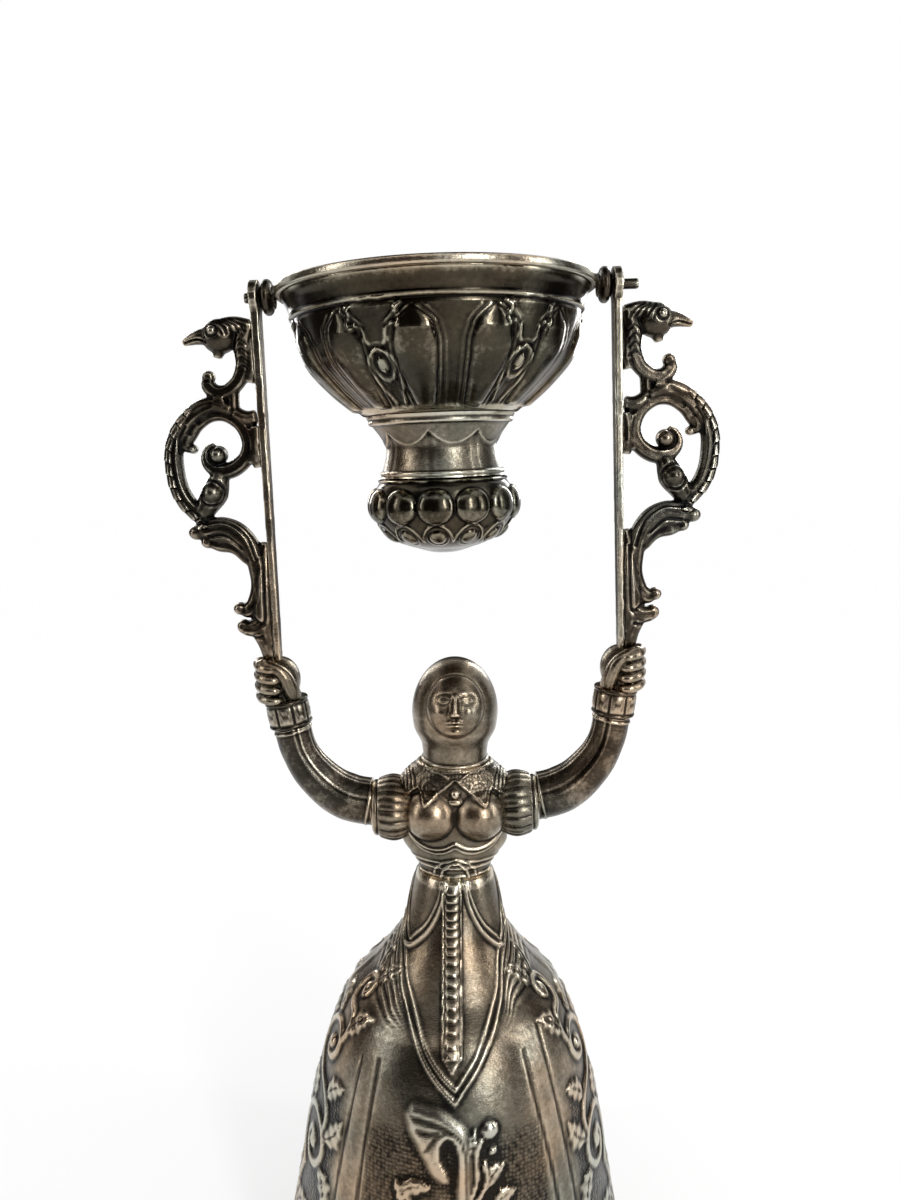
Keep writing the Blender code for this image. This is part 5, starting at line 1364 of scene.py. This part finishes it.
# %% Beads and pins
BEAD = [(1.35, 36.2), (2.3, 36.2), (2.45, 35.9), (3.2, 35.6), (3.6, 35.15), (3.65, 34.75), (3.6, 34.35),
        (3.2, 33.9), (2.45, 33.6), (2.3, 33.3), (1.35, 33.3), (1.35, 36.2)]
for side, sign, reach in (("left", -1, 39.7), ("right", 1, 41.9)):
    pin_line = [(0.0, reach), (0.6, reach), (0.9, reach - 0.12), (1.05, reach - 0.4)]
    pin_line += [(1.05, t) for t in rows(reach - 0.6, 33.6, 14)] + [(0.0, 33.6)]
    lie = CUP @ Matrix.Rotation(sign * math.pi / 2, 4, "Y")
    bead = set_place(spin_shell("bead", BEAD, 72), lie)
    pin = set_place(spin_shell("pin", pin_line, 48), lie)
    for piece, kind in ((bead, "bead"), (pin, "pin")):
        hand_over(piece, side + "_pivot_" + kind, dark_silver, "oxidised_silver", "small_cup", sharp=40)
    rub_clean(bead, level=0.45)

# %% [markdown]
# ## Table, background and light
# The photograph has a plain white ground. The floor is pale and keeps a soft shadow near the cup;
# further out the camera sees it glow white. The world is white too, a little dimmer for scattered
# light, so that the shadow and the tones of the metal stay deep.

# %% The floor
bpy.ops.object.select_all(action="DESELECT")
bpy.ops.mesh.primitive_plane_add(size=8)
floor = bpy.context.object
floor.name = "floor"
paper = bpy.data.materials.new("white paper")
tree = with_nodes(paper)
shader = tree.nodes["Principled BSDF"]
shader.inputs["Base Color"].default_value = (0.9, 0.9, 0.9, 1)
shader.inputs["Roughness"].default_value = 0.9
place = add_node(tree, "ShaderNodeTexCoord").outputs["Object"]
away = add_node(tree, "ShaderNodeVectorMath", [(0, place)], operation="LENGTH").outputs["Value"]
glow = [("Value", away), ("From Min", 0.06), ("From Max", 0.55), ("To Min", 0.45), ("To Max", 0.99)]
glow = add_node(tree, "ShaderNodeMapRange", glow, interpolation_type="SMOOTHSTEP").outputs["Result"]
rays = add_node(tree, "ShaderNodeLightPath").outputs
seen = [(0, rays["Is Camera Ray"]), (1, glow)]
seen = add_node(tree, "ShaderNodeMath", seen, operation="MULTIPLY").outputs[0]
white = add_node(tree, "ShaderNodeEmission").outputs[0]
mix = add_node(tree, "ShaderNodeMixShader", [("Fac", seen), (1, shader.outputs[0]), (2, white)])
tree.links.new(mix.outputs[0], tree.nodes["Material Output"].inputs["Surface"])
floor.data.materials.append(paper)
floor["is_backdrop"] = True

world = bpy.data.worlds.new("studio")
bpy.context.scene.world = world
tree = with_nodes(world)
rays = add_node(tree, "ShaderNodeLightPath").outputs
bright = [(0, rays["Is Camera Ray"]), (1, rays["Is Glossy Ray"])]
bright = add_node(tree, "ShaderNodeMath", bright, operation="ADD").outputs[0]
bright = [(0, bright), (1, rays["Is Transmission Ray"])]
bright = add_node(tree, "ShaderNodeMath", bright, operation="ADD", use_clamp=True).outputs[0]
strength = add_node(tree, "ShaderNodeMapRange", [("Value", bright), ("To Min", 0.7), ("To Max", 1.0)])
tree.nodes["Background"].inputs["Color"].default_value = (1, 1, 1, 1)
tree.links.new(strength.outputs[0], tree.nodes["Background"].inputs["Strength"])
print("floor and background are set")

# %% [markdown]
# ### Soft boxes and cards
# Polished metal shows what stands around it. Five tall area lamps give the bright streaks, the
# strongest from the front on the right. Six upright cards and one overhead give the deep tones
# between, as a photographer's black flags do; only mirror rays see them and they cast no shadow.

# %% Soft boxes and dark cards
CENTRE = Vector((0, 0, 0.13))


def aim(thing, azimuth, height, distance):
    """Stands a thing round the cup at an azimuth, 0 in front and 90 on the right, facing it."""
    turn = math.radians(azimuth)
    place = Vector((math.sin(turn) * distance, -math.cos(turn) * distance, height))
    thing.location = place
    thing.rotation_euler = (CENTRE - place).to_track_quat("-Z", "Y").to_euler()


for azimuth, height, width, tall, power in ((27, 0.34, 0.07, 0.40, 1.6), (72, 0.30, 0.05, 0.44, 0.7),
                                            (-72, 0.34, 0.035, 0.40, 0.45), (152, 0.38, 0.08, 0.40, 1.3),
                                            (-146, 0.38, 0.06, 0.40, 0.9)):
    bpy.ops.object.light_add(type="AREA")
    lamp = bpy.context.object
    lamp.data.shape = "RECTANGLE"
    lamp.data.size, lamp.data.size_y = width, tall
    lamp.data.energy = power
    aim(lamp, azimuth, height, 0.6)

card_paint = bpy.data.materials.new("dark card")
paint = with_nodes(card_paint).nodes["Principled BSDF"]
paint.inputs["Base Color"].default_value = (0.05, 0.04, 0.035, 1)
paint.inputs["Roughness"].default_value = 1.0


def add_card(name, size):
    """A dark card of a size in metres, seen by mirror rays only."""
    bpy.ops.mesh.primitive_plane_add(size=1)
    card = bpy.context.object
    card.name = name
    card.scale = (*size, 1)
    card.data.materials.append(card_paint)
    card.visible_camera = card.visible_diffuse = card.visible_shadow = card.visible_transmission = False
    card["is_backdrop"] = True
    return card


for azimuth, width in ((-26, 0.90), (-96, 0.56), (56, 0.26), (104, 0.42), (178, 0.50), (-140, 0.30)):
    aim(add_card("card", (width, 1.1)), azimuth, 0.15, 0.75)
add_card("card above", (0.8, 0.9)).location = (-0.15, 0, 0.8)
print("lights and cards are set")

# %% [markdown]
# ## The size of what is shown
# The box round everything shown, with the floor and cards left out, is printed. The dressed cup has
# to stay inside the frame's box.

# %% Print the box round what is shown
low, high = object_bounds()
print("visual box", tuple(low), tuple(high))
